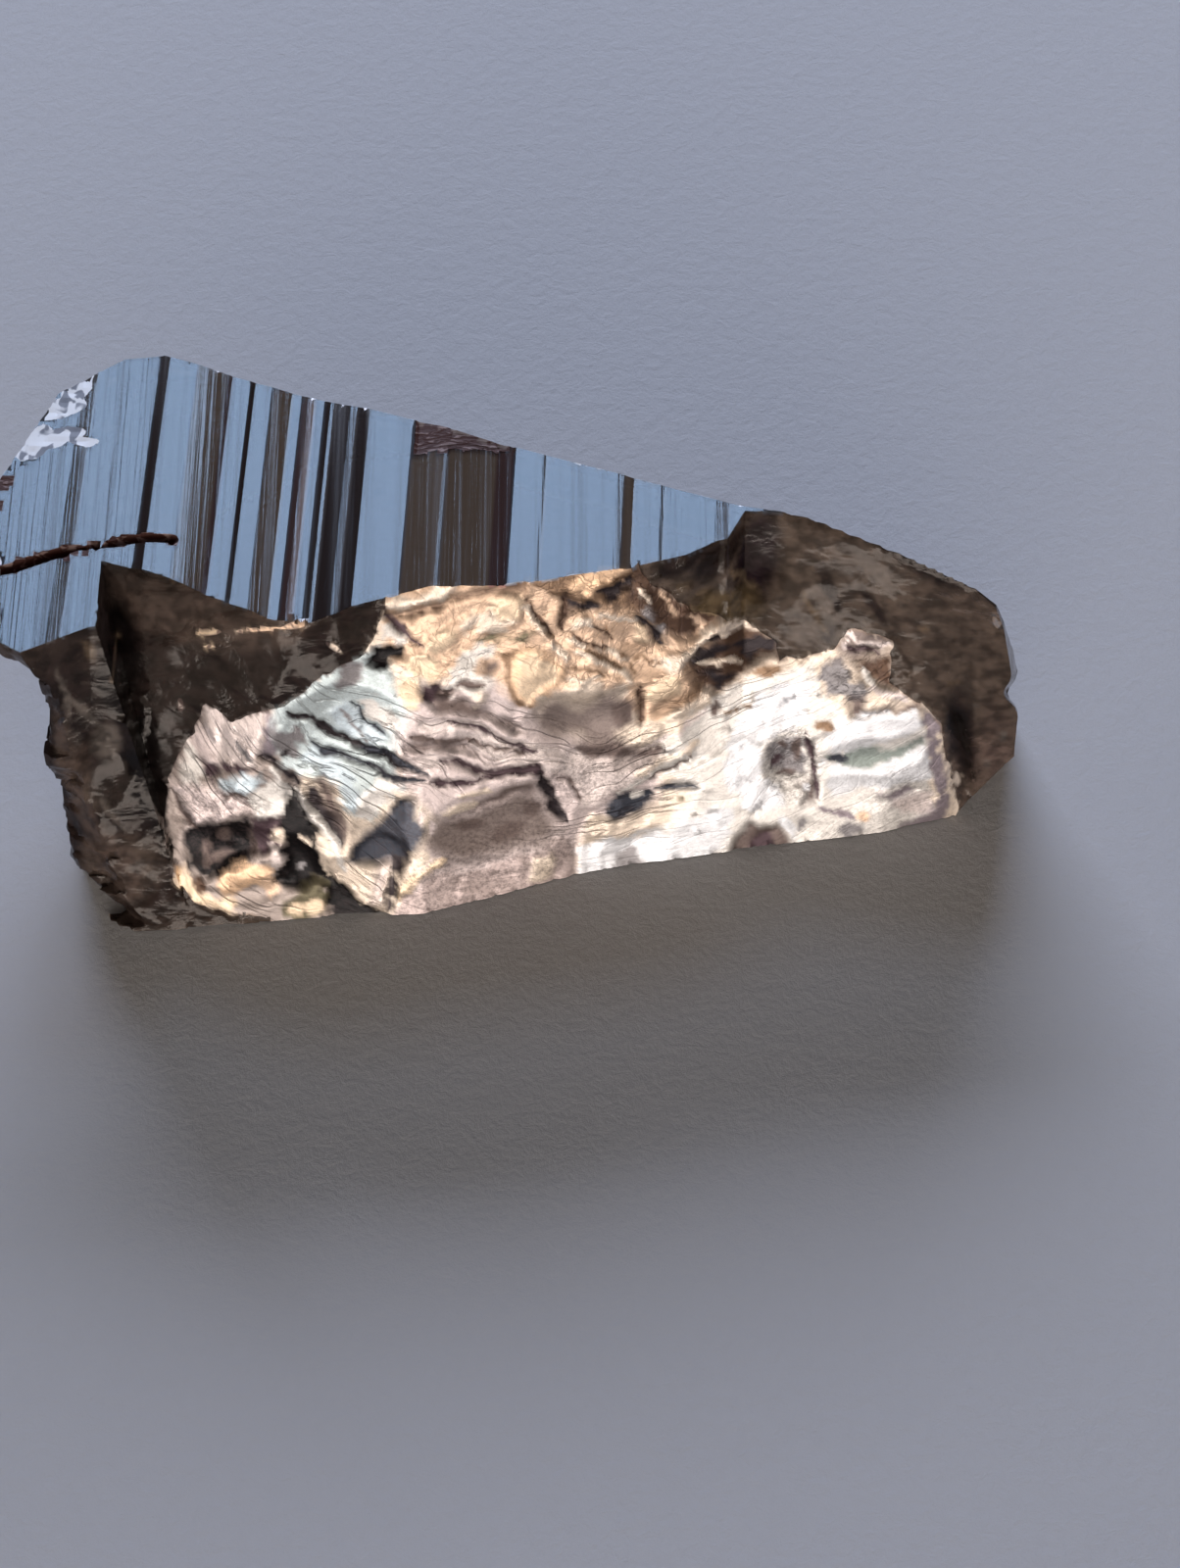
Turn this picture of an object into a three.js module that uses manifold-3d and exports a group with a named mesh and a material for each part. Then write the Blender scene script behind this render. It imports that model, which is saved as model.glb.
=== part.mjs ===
// Rough axinite: one broken crystal, lying on a flat break.
// Millimetres, +Z up, +X along the crystal from its thick end to its rounded end.
// The upper face is the growth face, with striations across it. The front is a conchoidal break.
import * as THREE from 'three';
import { mergeVertices } from 'three/addons/utils/BufferGeometryUtils.js';
import Module from 'manifold-3d';

const wasm = await Module();
wasm.setup();

// ---- Driving sizes ----

const HEIGHT = 9; // growth face above the break that the crystal lies on
const BLANK = { from: -17, to: 16, rear: 14 }; // block that the faces are broken from
const STRIATION_LEAN = 0.04; // sideways run of the striations for each millimetre along them

// Foot of the front break: [x, y] where it meets the resting face.
const FRONT_FOOT = [
  [-17, -6.6],
  [-10.2, -6.0],
  [-6.5, -5.6],
  [-2.7, -5.4],
  [2.2, -3.8],
  [6.8, -2.95],
  [10.9, -2.3],
  [13.3, -1.6],
  [16, -0.7],
];

// Crest of the front break: [x, y, z]. It is the front edge of the growth face as far as the peak
// at x = 6.72, and from there it is the ridge that runs down to the rounded end.
const FRONT_CREST = [
  [-17, -3.4, HEIGHT],
  [-13.9, -3.05, HEIGHT],
  [-12.0, -2.1, HEIGHT],
  [-5.65, -1.65, HEIGHT],
  [-3.2, -0.82, HEIGHT],
  [-0.1, -0.3, HEIGHT],
  [3.3, 0.4, HEIGHT],
  [5.0, 0.9, HEIGHT],
  [6.2, 1.65, HEIGHT],
  [6.72, 2.76, HEIGHT],
  [8.7, 2.32, 8.8],
  [10.4, 1.71, 8.5],
  [11.7, 1.21, 8.2],
  [13.1, 0.81, 7.8],
  [16, 0, 6.9],
];

// Crest that the lower part of the front break heads for: [x, y]. It bends to the real one near the top.
const SOFT_CREST = [
  [-17, -3.4],
  [-12, -2.1],
  [-5.65, -1.65],
  [-0.1, -0.3],
  [4.5, 0.75],
  [8.0, 1.45],
  [11, 1.2],
  [13.1, 0.81],
  [16, 0],
];
const LEVELS = [0, 0.35, 0.55, 0.7, 0.85, 1]; // where a section has points up its front, as shares of its height

// Strips of the growth face: [x of the right edge, tilt across the strip in degrees].
const STRIPS = [
  [-13.3, 0.3], [-12.88, -1.7], [-11.97, 0.3], [-11.78, -0.7], [-10.98, -0.4], [-10.6, -8],
  [-9.89, 2.3], [-9.32, 7], [-8.94, 9.5], [-8.8, 10], [-8.37, 3], [-8.23, 9.5],
  [-7.66, 0.3], [-7.52, -3.2], [-7.0, 8.5], [-6.71, 0], [-6.52, -9], [-6.24, -5.2],
  [-5.95, -2.4], [-5.67, -9], [-5.52, -4.4], [-5.1, -9.5], [-4.95, -4.8], [-4.62, -10],
  [-3.3, 0.4], [-3.06, 5.5], [-2.3, -9], [-2.16, 1.5], [-0.87, 8.3], [-0.3, -9.5],
  [-0.07, -9.5], [0.57, -0.2], [0.82, 3.5], [2.85, 0], [2.99, 2.8], [3.1, 5],
  [3.38, -9], [4.17, -0.6], [4.25, 4.5], [5.79, -0.5], [6.12, 2.7], [BLANK.to, -3.5],
];

// Breaks and faces that bound the crystal: a point on each, and its outward direction.
const FACES = {
  back: { at: [6.72, 2.76, HEIGHT], out: [0.318, 0.908, 0.262] },
  endLeft: { at: [-15.4, -1.0, HEIGHT], out: [-0.97, -0.2, -0.1] },
  frontLeft: { at: [-13.92, -3.03, HEIGHT], out: [-0.538, -0.838, 0.15] },
  footLeft: { at: [-13.05, -5.4, 2], out: [-0.83, -0.4, -0.33] },
  cornerLeft: { at: [-14.9, 4.06, HEIGHT], out: [-0.837, 0.352, -0.419] },
  backLeft: { at: [-13.5, 7.3, HEIGHT], out: [-0.56, 0.76, -0.33] },
  backFar: { at: [-12.1, 8.6, HEIGHT], out: [-0.117, 0.99, -0.075] },
  footRight: { at: [13.15, -1.5, 0], out: [0.73, -0.32, -0.6] },
};

// Re-entrant breaks: each takes away only what lies outside every one of its faces.
const REENTRANTS = {
  underLip: [
    { at: [-13.75, -3.5, 8], out: [-0.55, -0.1, -0.83] },
    { at: [-13.9, -3.5, 8], out: [-0.985, 0, -0.1] },
  ],
  bevel: [
    { at: [-11.8, 0.5, HEIGHT], out: [-0.26, -0.743, 0.616] },
    { at: [-11.85, 0, HEIGHT], out: [1, 0, 0.27] },
  ],
  notch: [
    { at: [-9.96, -1.59, 7.25], out: [-0.213, -0.842, 0.496] },
    { at: [-11.85, 0, HEIGHT], out: [1, 0, 0.27] },
  ],
  edgeChip: [
    { at: [-1.7, 4.55, HEIGHT], out: [0.28, 0.955, 0.1] },
    { at: [-1.7, 4.55, HEIGHT - 0.25], out: [0.04, 0.1, 1] },
    { at: [-3.1, 0, HEIGHT], out: [1, 0, 0] },
    { at: [-0.3, 0, HEIGHT], out: [-1, 0, 0] },
  ],
};

// Rounded end, from its top down, and the waist between its two bulges.
const NOSE = [
  { at: [12.7, 1, 7.85], out: [0.3, 0, 0.95] },
  { at: [13.75, 1, 7.35], out: [0.64, -0.04, 0.77] },
  { at: [14.25, 1, 6.7], out: [0.93, -0.05, 0.35] },
  { at: [14.55, 1, 5.5], out: [0.98, -0.05, 0.18] },
  { at: [14.95, 0.6, 2.9], out: [1, -0.05, -0.02] },
];
const WAIST = { at: [15.4, 0, 3.75], along: [0, 0.656, -0.755], radius: 0.9, length: 14, sides: 24 };

// Hollows of the conchoidal break: [x, z, half width, half length, depth, turn in degrees].
const HOLLOWS = [
  [-5.1, 5.1, 2.0, 1.7, 0.26, 35], // broad scoop under the notch
  [-4.0, 2.0, 0.9, 1.3, 0.16, 25], // dark hollow
  [-8.4, 2.2, 1.3, 0.8, 0.2, 0], // pocket over the left foot
  [-0.5, 2.0, 2.2, 1.1, 0.14, -8], // long window over the foot
  [2.0, 4.5, 1.8, 0.9, 0.14, -12], // oval hollow in the middle
  [3.7, 3.2, 0.9, 0.6, 0.12, 20], // its tail
  [7.3, 7.8, 0.8, 1.3, 0.22, -18], // scallop under the peak
  [8.1, 2.4, 0.8, 0.9, 0.12, 10], // pit
  [10.6, 2.35, 1.9, 0.6, 0.08, 6], // groove across the right part
  [3.6, 6.3, 1.5, 1.0, 0.2, -25],
  [5.9, 4.1, 1.3, 1.3, 0.16, 15],
  [10.2, 5.6, 1.6, 1.5, 0.16, -30],
  [-7.6, 0.9, 1.3, 0.5, 0.12, 5],
  [-11.8, 4.9, 0.9, 1.4, 0.25, -20],
  [-6.2, 1.6, 0.5, 1.0, 0.16, 20],
  [6.3, 5.5, 1.2, 0.5, 0.2, 0],
];
const SMALL_HOLLOWS = { count: 34, from: -9, to: 12.5, width: [0.8, 1.9], flatness: 0.13, seed: 11 };

// Hollows of the back break: [distance along it from the peak, height, half width, half height, depth].
const BACK_HOLLOWS = [
  [1.8, 5.4, 3.4, 3.6, 0.3],
  [6.6, 3.4, 4.0, 3.4, 0.36],
  [10.6, 6.4, 3.8, 3.2, 0.3],
  [14.6, 3.2, 4.2, 3.8, 0.42],
  [-3.2, 3.2, 3.4, 3.0, 0.28],
];
const CAP_SHARE = 1 / 3; // depth of a hollow over the thickness radius of the ellipsoid that cuts it
const HOLLOW_FACETS = 3; // subdivision of the ellipsoids

// Crack across the thick end of the growth face: a thin wedge for each lens of it.
const CRACKS = [
  { at: [-13.7, 0.35], length: 2.4, width: 0.34, depth: 1.1, turn: 27 },
  { at: [-10.7, 1.35], length: 2.2, width: 0.28, depth: 0.9, turn: 8 },
];

// ---- Helpers ----

// Straight-line value at x on an outline of points ordered by x.
function along(outline, x, column) {
  const last = outline.length - 1;
  let i = 1;
  while (i < last && outline[i][0] < x) i += 1;
  const [a, b] = [outline[i - 1], outline[i]];
  return THREE.MathUtils.mapLinear(x, a[0], b[0], a[column], b[column]);
}

// Height of the growth face above HEIGHT at x: the tilted strips, end to end.
function stripHeight(x) {
  let height = 0;
  let start = BLANK.from;
  for (const [end, tilt] of STRIPS) {
    const stop = Math.min(end, x);
    if (stop > start) height -= Math.tan(THREE.MathUtils.degToRad(tilt)) * (stop - start);
    start = end;
  }
  return height;
}

// Y of the front break at x and height z: straight from the foot, bending to the crest near the top.
function frontY(x, z) {
  const foot = along(FRONT_FOOT, x, 1);
  const crest = along(FRONT_CREST, x, 1);
  const soft = along(SOFT_CREST, x, 1);
  const rise = z / along(FRONT_CREST, x, 2);
  return foot + (soft - foot) * rise + (crest - soft) * rise ** 3;
}

// Outward direction of the front break at x and height z.
function frontNormal(x, z) {
  const step = 0.5;
  const acrossX = (frontY(x + step, z) - frontY(x - step, z)) / (2 * step);
  const acrossZ = (frontY(x, z + step) - frontY(x, z - step)) / (2 * step);
  return new THREE.Vector3(acrossX, -1, acrossZ).normalize();
}

function toSolid(geometry) {
  const bare = geometry.clone();
  bare.deleteAttribute('normal');
  bare.deleteAttribute('uv');
  const merged = mergeVertices(bare, 1e-4);
  return new wasm.Manifold(
    new wasm.Mesh({
      numProp: 3,
      vertProperties: new Float32Array(merged.attributes.position.array),
      triVerts: new Uint32Array(merged.index.array),
    }),
  );
}

function toGeometry(solid) {
  const mesh = solid.getMesh();
  const geometry = new THREE.BufferGeometry();
  geometry.setAttribute('position', new THREE.BufferAttribute(mesh.vertProperties, 3));
  geometry.setIndex(new THREE.BufferAttribute(mesh.triVerts, 1));
  const flat = geometry.toNonIndexed();
  flat.computeVertexNormals();
  return flat;
}

// Everything within reach that lies outside a face.
function outside(face) {
  const size = 80;
  const out = new THREE.Vector3(...face.out).normalize();
  const box = new THREE.BoxGeometry(size, size, size);
  box.translate(0, 0, size / 2);
  box.applyQuaternion(new THREE.Quaternion().setFromUnitVectors(new THREE.Vector3(0, 0, 1), out));
  box.translate(...face.at);
  return toSolid(box);
}

// Repeatable numbers from 0 to 1.
function seeded(seed) {
  let state = seed;
  return () => {
    state = (state * 16807) % 2147483647;
    return state / 2147483647;
  };
}

// ---- The block, lofted along X ----

// Section at a station: foot, crest line carried up to the growth face, and the rear of the block.
function section(station) {
  const top = HEIGHT + stripHeight(station);
  return [
    ...LEVELS.map((level) => [frontY(station, level * top), level * top]),
    [BLANK.rear, top],
    [BLANK.rear, 0],
  ].map(([y, z]) => new THREE.Vector3(station + STRIATION_LEAN * y, y, z));
}

function blankSolid() {
  const edges = [...FRONT_FOOT, ...FRONT_CREST, ...SOFT_CREST, ...STRIPS].map(([x]) => x);
  const stations = [...new Set(edges)].sort((a, b) => a - b);
  const rings = stations.map(section);
  const corners = rings[0].length;
  const triangles = [];
  for (let s = 0; s + 1 < rings.length; s += 1) {
    for (let c = 0; c < corners; c += 1) {
      const next = (c + 1) % corners;
      triangles.push(rings[s][c], rings[s + 1][c], rings[s + 1][next]);
      triangles.push(rings[s][c], rings[s + 1][next], rings[s][next]);
    }
  }
  const first = rings[0];
  const last = rings[rings.length - 1];
  for (let c = 1; c + 1 < corners; c += 1) {
    triangles.push(first[0], first[c], first[c + 1]);
    triangles.push(last[0], last[c + 1], last[c]);
  }
  return toSolid(new THREE.BufferGeometry().setFromPoints(triangles));
}

// ---- Cuts ----

function waistCutter() {
  const rod = new THREE.CylinderGeometry(WAIST.radius, WAIST.radius, WAIST.length, WAIST.sides);
  const way = new THREE.Vector3(...WAIST.along);
  rod.applyQuaternion(new THREE.Quaternion().setFromUnitVectors(new THREE.Vector3(0, 1, 0), way));
  rod.translate(...WAIST.at);
  return toSolid(rod);
}

// Ellipsoid that leaves a hollow of the given half sizes and depth in a face at a point of it.
function hollowCutter(point, out, [halfWidth, halfLength, depth, turn = 0]) {
  const thickness = depth / CAP_SHARE;
  const spread = Math.sqrt(1 - (1 - CAP_SHARE) ** 2);
  const ball = new THREE.IcosahedronGeometry(1, HOLLOW_FACETS);
  ball.scale(halfWidth / spread, halfLength / spread, thickness);
  ball.rotateZ(THREE.MathUtils.degToRad(turn));
  const side = new THREE.Vector3(1, 0, 0).addScaledVector(out, -out.x).normalize();
  const upward = new THREE.Vector3().crossVectors(out, side);
  const place = new THREE.Matrix4().makeBasis(side, upward, out);
  place.setPosition(point.clone().addScaledVector(out, thickness - depth));
  ball.applyMatrix4(place);
  return toSolid(ball);
}

function frontHollow([x, z, ...sizes]) {
  return hollowCutter(new THREE.Vector3(x, frontY(x, z), z), frontNormal(x, z), sizes);
}

function backHollow([distance, height, ...sizes]) {
  const out = new THREE.Vector3(...FACES.back.out).normalize();
  const level = new THREE.Vector3(-out.y, out.x, 0).normalize();
  const downward = new THREE.Vector3().crossVectors(level, out).normalize();
  if (downward.z > 0) downward.negate();
  const point = new THREE.Vector3(...FACES.back.at)
    .addScaledVector(level, distance)
    .addScaledVector(downward, (HEIGHT - height) / -downward.z);
  return hollowCutter(point, out, sizes);
}

function smallHollows() {
  const next = seeded(SMALL_HOLLOWS.seed);
  const [least, most] = SMALL_HOLLOWS.width;
  return Array.from({ length: SMALL_HOLLOWS.count }, () => {
    const x = THREE.MathUtils.lerp(SMALL_HOLLOWS.from, SMALL_HOLLOWS.to, next());
    const z = THREE.MathUtils.lerp(0.4, HEIGHT - 1.6, next());
    const width = THREE.MathUtils.lerp(least, most, next());
    const length = width * THREE.MathUtils.lerp(0.5, 1.2, next());
    return [x, z, width, length, length * SMALL_HOLLOWS.flatness, 90 * next() - 45];
  });
}

// Lens-shaped wedge, point down, sunk into the growth face.
function crackCutter({ at, length, width, depth, turn }) {
  const lens = new THREE.Shape();
  lens.moveTo(-length / 2, 0);
  lens.quadraticCurveTo(0, width, length / 2, 0);
  lens.quadraticCurveTo(0, -width, -length / 2, 0);
  const wedge = new THREE.ExtrudeGeometry(lens, { depth: depth + 1, bevelEnabled: false, curveSegments: 6 });
  wedge.translate(0, 0, -depth);
  wedge.rotateZ(THREE.MathUtils.degToRad(turn));
  wedge.translate(at[0], at[1], HEIGHT);
  return toSolid(wedge);
}

function crystalSolid() {
  let solid = blankSolid();
  for (const face of [...Object.values(FACES), ...NOSE]) {
    solid = solid.subtract(outside(face));
  }
  for (const faces of Object.values(REENTRANTS)) {
    solid = solid.subtract(faces.map(outside).reduce((a, b) => a.intersect(b)));
  }
  const frontCutters = [...HOLLOWS, ...smallHollows()].map(frontHollow);
  const backCutters = BACK_HOLLOWS.map(backHollow);
  for (const cutter of [...frontCutters, ...backCutters, ...CRACKS.map(crackCutter), waistCutter()]) {
    solid = solid.subtract(cutter);
  }
  return solid;
}

// ---- Scene graph: origin at the middle of the resting face's bounding box ----

const finish = new THREE.MeshStandardMaterial({ color: 0x5a4334, roughness: 0.12, metalness: 0 });
const geometry = toGeometry(crystalSolid());
geometry.computeBoundingBox();
const { min, max } = geometry.boundingBox;

const crystal = new THREE.Mesh(geometry, finish);
crystal.name = 'crystal';
crystal.position.set(-(min.x + max.x) / 2, -(min.y + max.y) / 2, -min.z);

const part = new THREE.Group();
part.add(crystal);

export default part;
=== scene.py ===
"""Rough axinite: one clove-brown crystal with a striated growth face and a bright conchoidal break.

The crystal's outline is worked out in millimetres in its growth frame, where the striations run along Y and
the growth face is 9 mm above the break that it rests on. The finished meshes are in metres, in the part's
frame.
"""
import math

import bpy
import numpy as np
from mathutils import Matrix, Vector


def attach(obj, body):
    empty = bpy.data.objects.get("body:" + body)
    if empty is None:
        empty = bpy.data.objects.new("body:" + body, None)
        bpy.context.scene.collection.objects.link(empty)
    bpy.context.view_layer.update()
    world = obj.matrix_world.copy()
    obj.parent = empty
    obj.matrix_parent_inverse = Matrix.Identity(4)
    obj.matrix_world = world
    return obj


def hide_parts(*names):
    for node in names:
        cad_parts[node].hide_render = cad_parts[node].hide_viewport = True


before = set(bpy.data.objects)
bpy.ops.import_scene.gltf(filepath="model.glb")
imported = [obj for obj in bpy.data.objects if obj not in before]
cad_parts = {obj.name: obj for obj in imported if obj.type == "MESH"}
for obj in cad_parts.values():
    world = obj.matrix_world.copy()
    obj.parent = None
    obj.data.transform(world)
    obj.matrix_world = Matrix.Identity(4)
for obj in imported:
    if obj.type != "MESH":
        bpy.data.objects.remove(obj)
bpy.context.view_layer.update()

MM = 0.001
CELL = np.array([0.1, 0.2, 0.1])  # spacing of the contouring grid, mm
MAP_STEP = 0.04  # spacing of the relief maps, mm

# ---- The crystal's outline, mm ----

HEIGHT = 9.0
PART_ORIGIN = np.array([-0.468, 1.415, 0.0])  # the part's origin in the growth frame
STRIATION_LEAN = 0.04  # sideways run of the striations for each millimetre along them
BLOCK_LOW = (-17.0, -8.0, -0.4)
BLOCK_HIGH = (16.0, 12.0, 10.0)

# Foot of the front break, (x, y), and its crest, (x, y, z).
FRONT_FOOT = [(-17, -6.6), (-10.2, -6.0), (-6.5, -5.6), (-2.7, -5.4), (2.2, -3.8), (6.8, -2.95),
              (10.9, -2.3), (13.3, -1.6), (16, -0.7)]
FRONT_CREST = [(-17, -3.4, 9), (-13.9, -3.05, 9), (-12, -2.1, 9), (-5.65, -1.65, 9), (-3.2, -0.82, 9),
               (-0.1, -0.3, 9), (3.3, 0.4, 9), (5, 0.9, 9), (6.2, 1.65, 9), (6.72, 2.76, 9), (8.7, 2.32, 8.8),
               (10.4, 1.71, 8.5), (11.7, 1.21, 8.2), (13.1, 0.81, 7.8), (16, 0, 6.9)]

# Crest that the lower part of the break heads for, (x, y).
SOFT_CREST = [(-17, -3.4), (-12, -2.1), (-5.65, -1.65), (-0.1, -0.3), (4.5, 0.75), (8.0, 1.45), (11, 1.2),
              (13.1, 0.81), (16, 0)]
RIDGE_START = 6.7  # x where the crest goes on as a sharp ridge between the front and the back
RIDGE = np.array([point for point in FRONT_CREST if point[0] > RIDGE_START], float)

# Strips of the growth face: (x of the right edge, tilt across it in degrees at its left and right, veil). The
# veils partly paint each strip's reflection into the crystal under it: bluish pale under strips that mirror
# the sky, black under those that mirror the dark.
STRIPS = [
    (-13.15, 0.3, 0.3, "pale"), (-12.75, -3, -3, "grey"), (-11.95, 0.6, 0, "pale"),
    (-11.75, -0.7, -0.7, "pale"), (-10.95, 0.6, -1.4, "pale"), (-10.65, -8, -8, "black"),
    (-9.85, 1, 3.5, "pale"), (-9.35, 6.6, 8.5, "umber"), (-8.95, 9, 10, "umber"),
    (-8.75, 10, 10, "red_brown"), (-8.2, 3, 3, "pale"), (-8.05, 12, 12, "black"), (-7.55, 0, 0.5, "pale"),
    (-6.95, 9, 9, "umber"), (-6.65, 0, 0, "pale"), (-6.45, -9, -9, "red_brown"), (-6.25, -6, -6, "brown"),
    (-5.95, -1.5, -1.5, "pale"), (-5.75, -9, -9, "black"), (-5.65, -3.2, -3.2, "grey"),
    (-5.15, -9.5, -9.5, "black"), (-4.95, -5.2, -5.2, "grey"), (-4.55, -10, -10, "black"),
    (-3.25, 0.6, 0.2, "pale"), (-2.25, -9, -9, "umber"), (-2.15, 5.6, 5.6, "grey"),
    (-0.75, 8.5, 8, "umber"), (-0.25, 9, 9, "red_brown"), (-0.15, -30, -30, "pale"),
    (0.65, -0.3, 0, "pale"), (0.75, 4.2, 4.2, "grey"), (2.85, -0.4, 0.5, "pale"), (3.05, 2.8, 2.8, "grey"),
    (3.35, 9, 9, "umber"), (4.15, -0.6, -0.6, "pale"), (4.25, 3.4, 3.4, "grey"), (5.75, -0.5, -0.5, "pale"),
    (6.15, 2.4, 2.4, "grey"), (16, -3.5, -3.5, "pale"),
]
STRIP_TOP = 0.085  # height of the highest strip above HEIGHT
STRIP_PARTS = 5  # flat parts that each strip is bent from
GROWTH_FACE_END = 7.2  # x that the growth face doesn't reach
# Veils under the strips: the pale one is partly painted sky reflection, the black one painted dark
# reflection.
STRIP_VEILS_AND_PAINTED_REFLECTION = {
    "pale": (0.26, 0.30, 0.38),
    "grey": (0.42, 0.38, 0.38),
    "brown": (0.95, 0.62, 0.50),
    "umber": (0.50, 0.34, 0.23),
    "red_brown": (0.26, 0.13, 0.12),
    "black": (0.10, 0.06, 0.055),
}

# Faces and breaks that bound the crystal: a point on each and its outward direction.
BOUNDS = {
    "back": ((6.72, 2.76, 9), (0.318, 0.908, 0.262)),
    "end_left": ((-15.4, -1, 9), (-0.97, -0.2, -0.1)),
    "front_left": ((-13.92, -3.03, 9), (-0.538, -0.838, 0.15)),
    "foot_left": ((-13.05, -5.4, 2), (-0.83, -0.4, -0.33)),
    "corner_left": ((-14.9, 4.06, 9), (-0.837, 0.352, -0.419)),
    "back_left": ((-13.5, 7.3, 9), (-0.56, 0.76, -0.33)),
    "back_far": ((-12.1, 8.6, 9), (-0.117, 0.99, -0.075)),
    "foot_right": ((13.15, -1.5, 0), (0.73, -0.32, -0.6)),
}
UNDER_LIP = ((-13.75, -3.5, 8), (-0.55, -0.1, -0.83))
UNDER_LIP_SIDE = ((-13.9, -3.5, 8), (-0.985, 0, -0.1))
BEVEL = ((-11.8, 0.5, 9), (-0.26, -0.743, 0.616))
NOTCH = ((-9.96, -1.59, 7.25), (-0.213, -0.842, 0.496))
NOTCH_WALL = ((-11.85, 0, 9), (1, 0, 0.27))
# Rounded end on the right, from its top down: (point, outward direction); and the groove round it.
NOSE = [((12.7, 1, 7.85), (0.3, 0, 0.95)), ((13.75, 1, 7.35), (0.64, -0.04, 0.77)),
        ((14.25, 1, 6.7), (0.93, -0.05, 0.35)), ((14.55, 1, 5.5), (0.98, -0.05, 0.18)),
        ((14.95, 0.6, 2.9), (1, -0.05, -0.02))]
GROOVE_HEIGHT = 3.75
GROOVE_FALL = 1.15
GROOVE_DEPTH = 0.3
GROOVE_WIDTH = 0.5
EDGE_CALM = 1.5  # depth under the crest and the growth face at which the relief is whole, mm


# ---- Noise and relief maps ----

# Odd numbers that scramble a place on the lattice, and its seed, into a value.
SCRAMBLE_I = 374761393
SCRAMBLE_J = 668265263
SCRAMBLE_SEED = 974711
SCRAMBLE_AGAIN = 1274126177
LAYERS = 3  # of finer and finer noise
LAYER_RATIO = 2.03  # how much finer each layer is than the last
LAYER_SEEDS = 17  # from one layer's seed to the next


def lattice(i, j, seed):
    """Repeatable values from 0 to 1 at whole-number points."""
    n = i.astype(np.int64) * SCRAMBLE_I + j.astype(np.int64) * SCRAMBLE_J + seed * SCRAMBLE_SEED
    n &= 0xFFFFFFFF
    n = ((n ^ (n >> 13)) * SCRAMBLE_AGAIN) & 0xFFFFFFFF
    return ((n ^ (n >> 16)) & 0xFFFFFF) / float(0xFFFFFF)


def noise(u, v, seed):
    """Smooth value noise from 0 to 1."""
    i, j = np.floor(u), np.floor(v)
    a, b = u - i, v - j
    a, b = a * a * (3 - 2 * a), b * b * (3 - 2 * b)
    low = lattice(i, j, seed) * (1 - a) + lattice(i + 1, j, seed) * a
    high = lattice(i, j + 1, seed) * (1 - a) + lattice(i + 1, j + 1, seed) * a
    return low * (1 - b) + high * b


def layered(u, v, size, seed):
    """Noise of lumps of a size with finer layers added, still from 0 to 1."""
    total, weight = 0.0, 0.0
    for k in range(LAYERS):
        share = 0.5 ** k
        finer = LAYER_RATIO ** k
        total = total + share * noise(u / size * finer, v / size * finer, seed + LAYER_SEEDS * k)
        weight += share
    return total / weight


def waver(u, v, size, seed):
    """Layered noise about 0, from -0.5 to 0.5."""
    return layered(u, v, size, seed) - 0.5


def ridged(u, v, seed):
    """Noise folded so that it makes crests: 1 on a crest, 0 away from it."""
    return 1 - np.abs(2 * noise(u, v, seed) - 1)


def turned(u, v, x, z, degrees):
    """Coordinates about a centre, turned by an angle."""
    c, s = math.cos(math.radians(degrees)), math.sin(math.radians(degrees))
    du, dv = u - x, v - z
    return du * c + dv * s, dv * c - du * s


def dome(u, v, x, z, half_width, half_length, degrees):
    """1 at the centre of an ellipse, falling round to 0 on its rim and 0 outside it."""
    a, b = turned(u, v, x, z, degrees)
    return np.clip(1 - (a / half_width) ** 2 - (b / half_length) ** 2, 0, None)


def ellipse(u, v, x, z, half_width, half_length, degrees):
    """1 at the centre of an ellipse, falling evenly to 0 on its rim, below 0 outside."""
    a, b = turned(u, v, x, z, degrees)
    return 1 - np.sqrt((a / half_width) ** 2 + (b / half_length) ** 2)


def zone_share(u, v, zones, rise=2):
    """Share of an effect at each place: it rises inward from the rims of its zones, and is 0.1 outside."""
    share = np.full(u.shape, 0.1)
    for x, z, half_width, half_length, turn, amount in zones:
        inside = dome(u, v, x, z, half_width, half_length, turn)
        share = np.maximum(share, amount * np.minimum(1, rise * inside))
    return share


def scoops(u, v, seed, count, reach, widths, flatness, turns, depth):
    """Depth of shallow scoops strewn over a face, each drawn from the ranges of its place, size and turn."""
    relief = np.zeros(u.shape)
    draws = np.random.default_rng(seed)
    for _ in range(count):
        x, z = draws.uniform(*reach[0]), draws.uniform(*reach[1])
        half_width = draws.uniform(*widths)
        half_length = half_width * draws.uniform(*flatness)
        inside = dome(u, v, x, z, half_width, half_length, draws.uniform(*turns))
        relief = np.maximum(relief, depth * half_length * inside)
    return relief


def chips(u, v, size, seed):
    """Plane chips of a hackly break, one for each cell: height from -0.5 to 0.5, in units of the cell."""
    margin, spread, step = 0.15, 0.7, 0.35  # of each chip's middle in its cell, and between their levels
    i, j = np.floor(u / size), np.floor(v / size)
    best = np.full(u.shape, 9.0)
    height = np.zeros(u.shape)
    for di in (-1, 0, 1):
        for dj in (-1, 0, 1):
            ci, cj = i + di, j + dj
            du = u / size - ci - margin - spread * lattice(ci, cj, seed)
            dv = v / size - cj - margin - spread * lattice(ci, cj, seed + 1)
            far = du * du + dv * dv
            tilt = (lattice(ci, cj, seed + 2) - 0.5) * du + (lattice(ci, cj, seed + 3) - 0.5) * dv
            level = tilt + step * (lattice(ci, cj, seed + 4) - 0.5)
            height = np.where(far < best, level, height)
            best = np.minimum(best, far)
    return height


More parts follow.
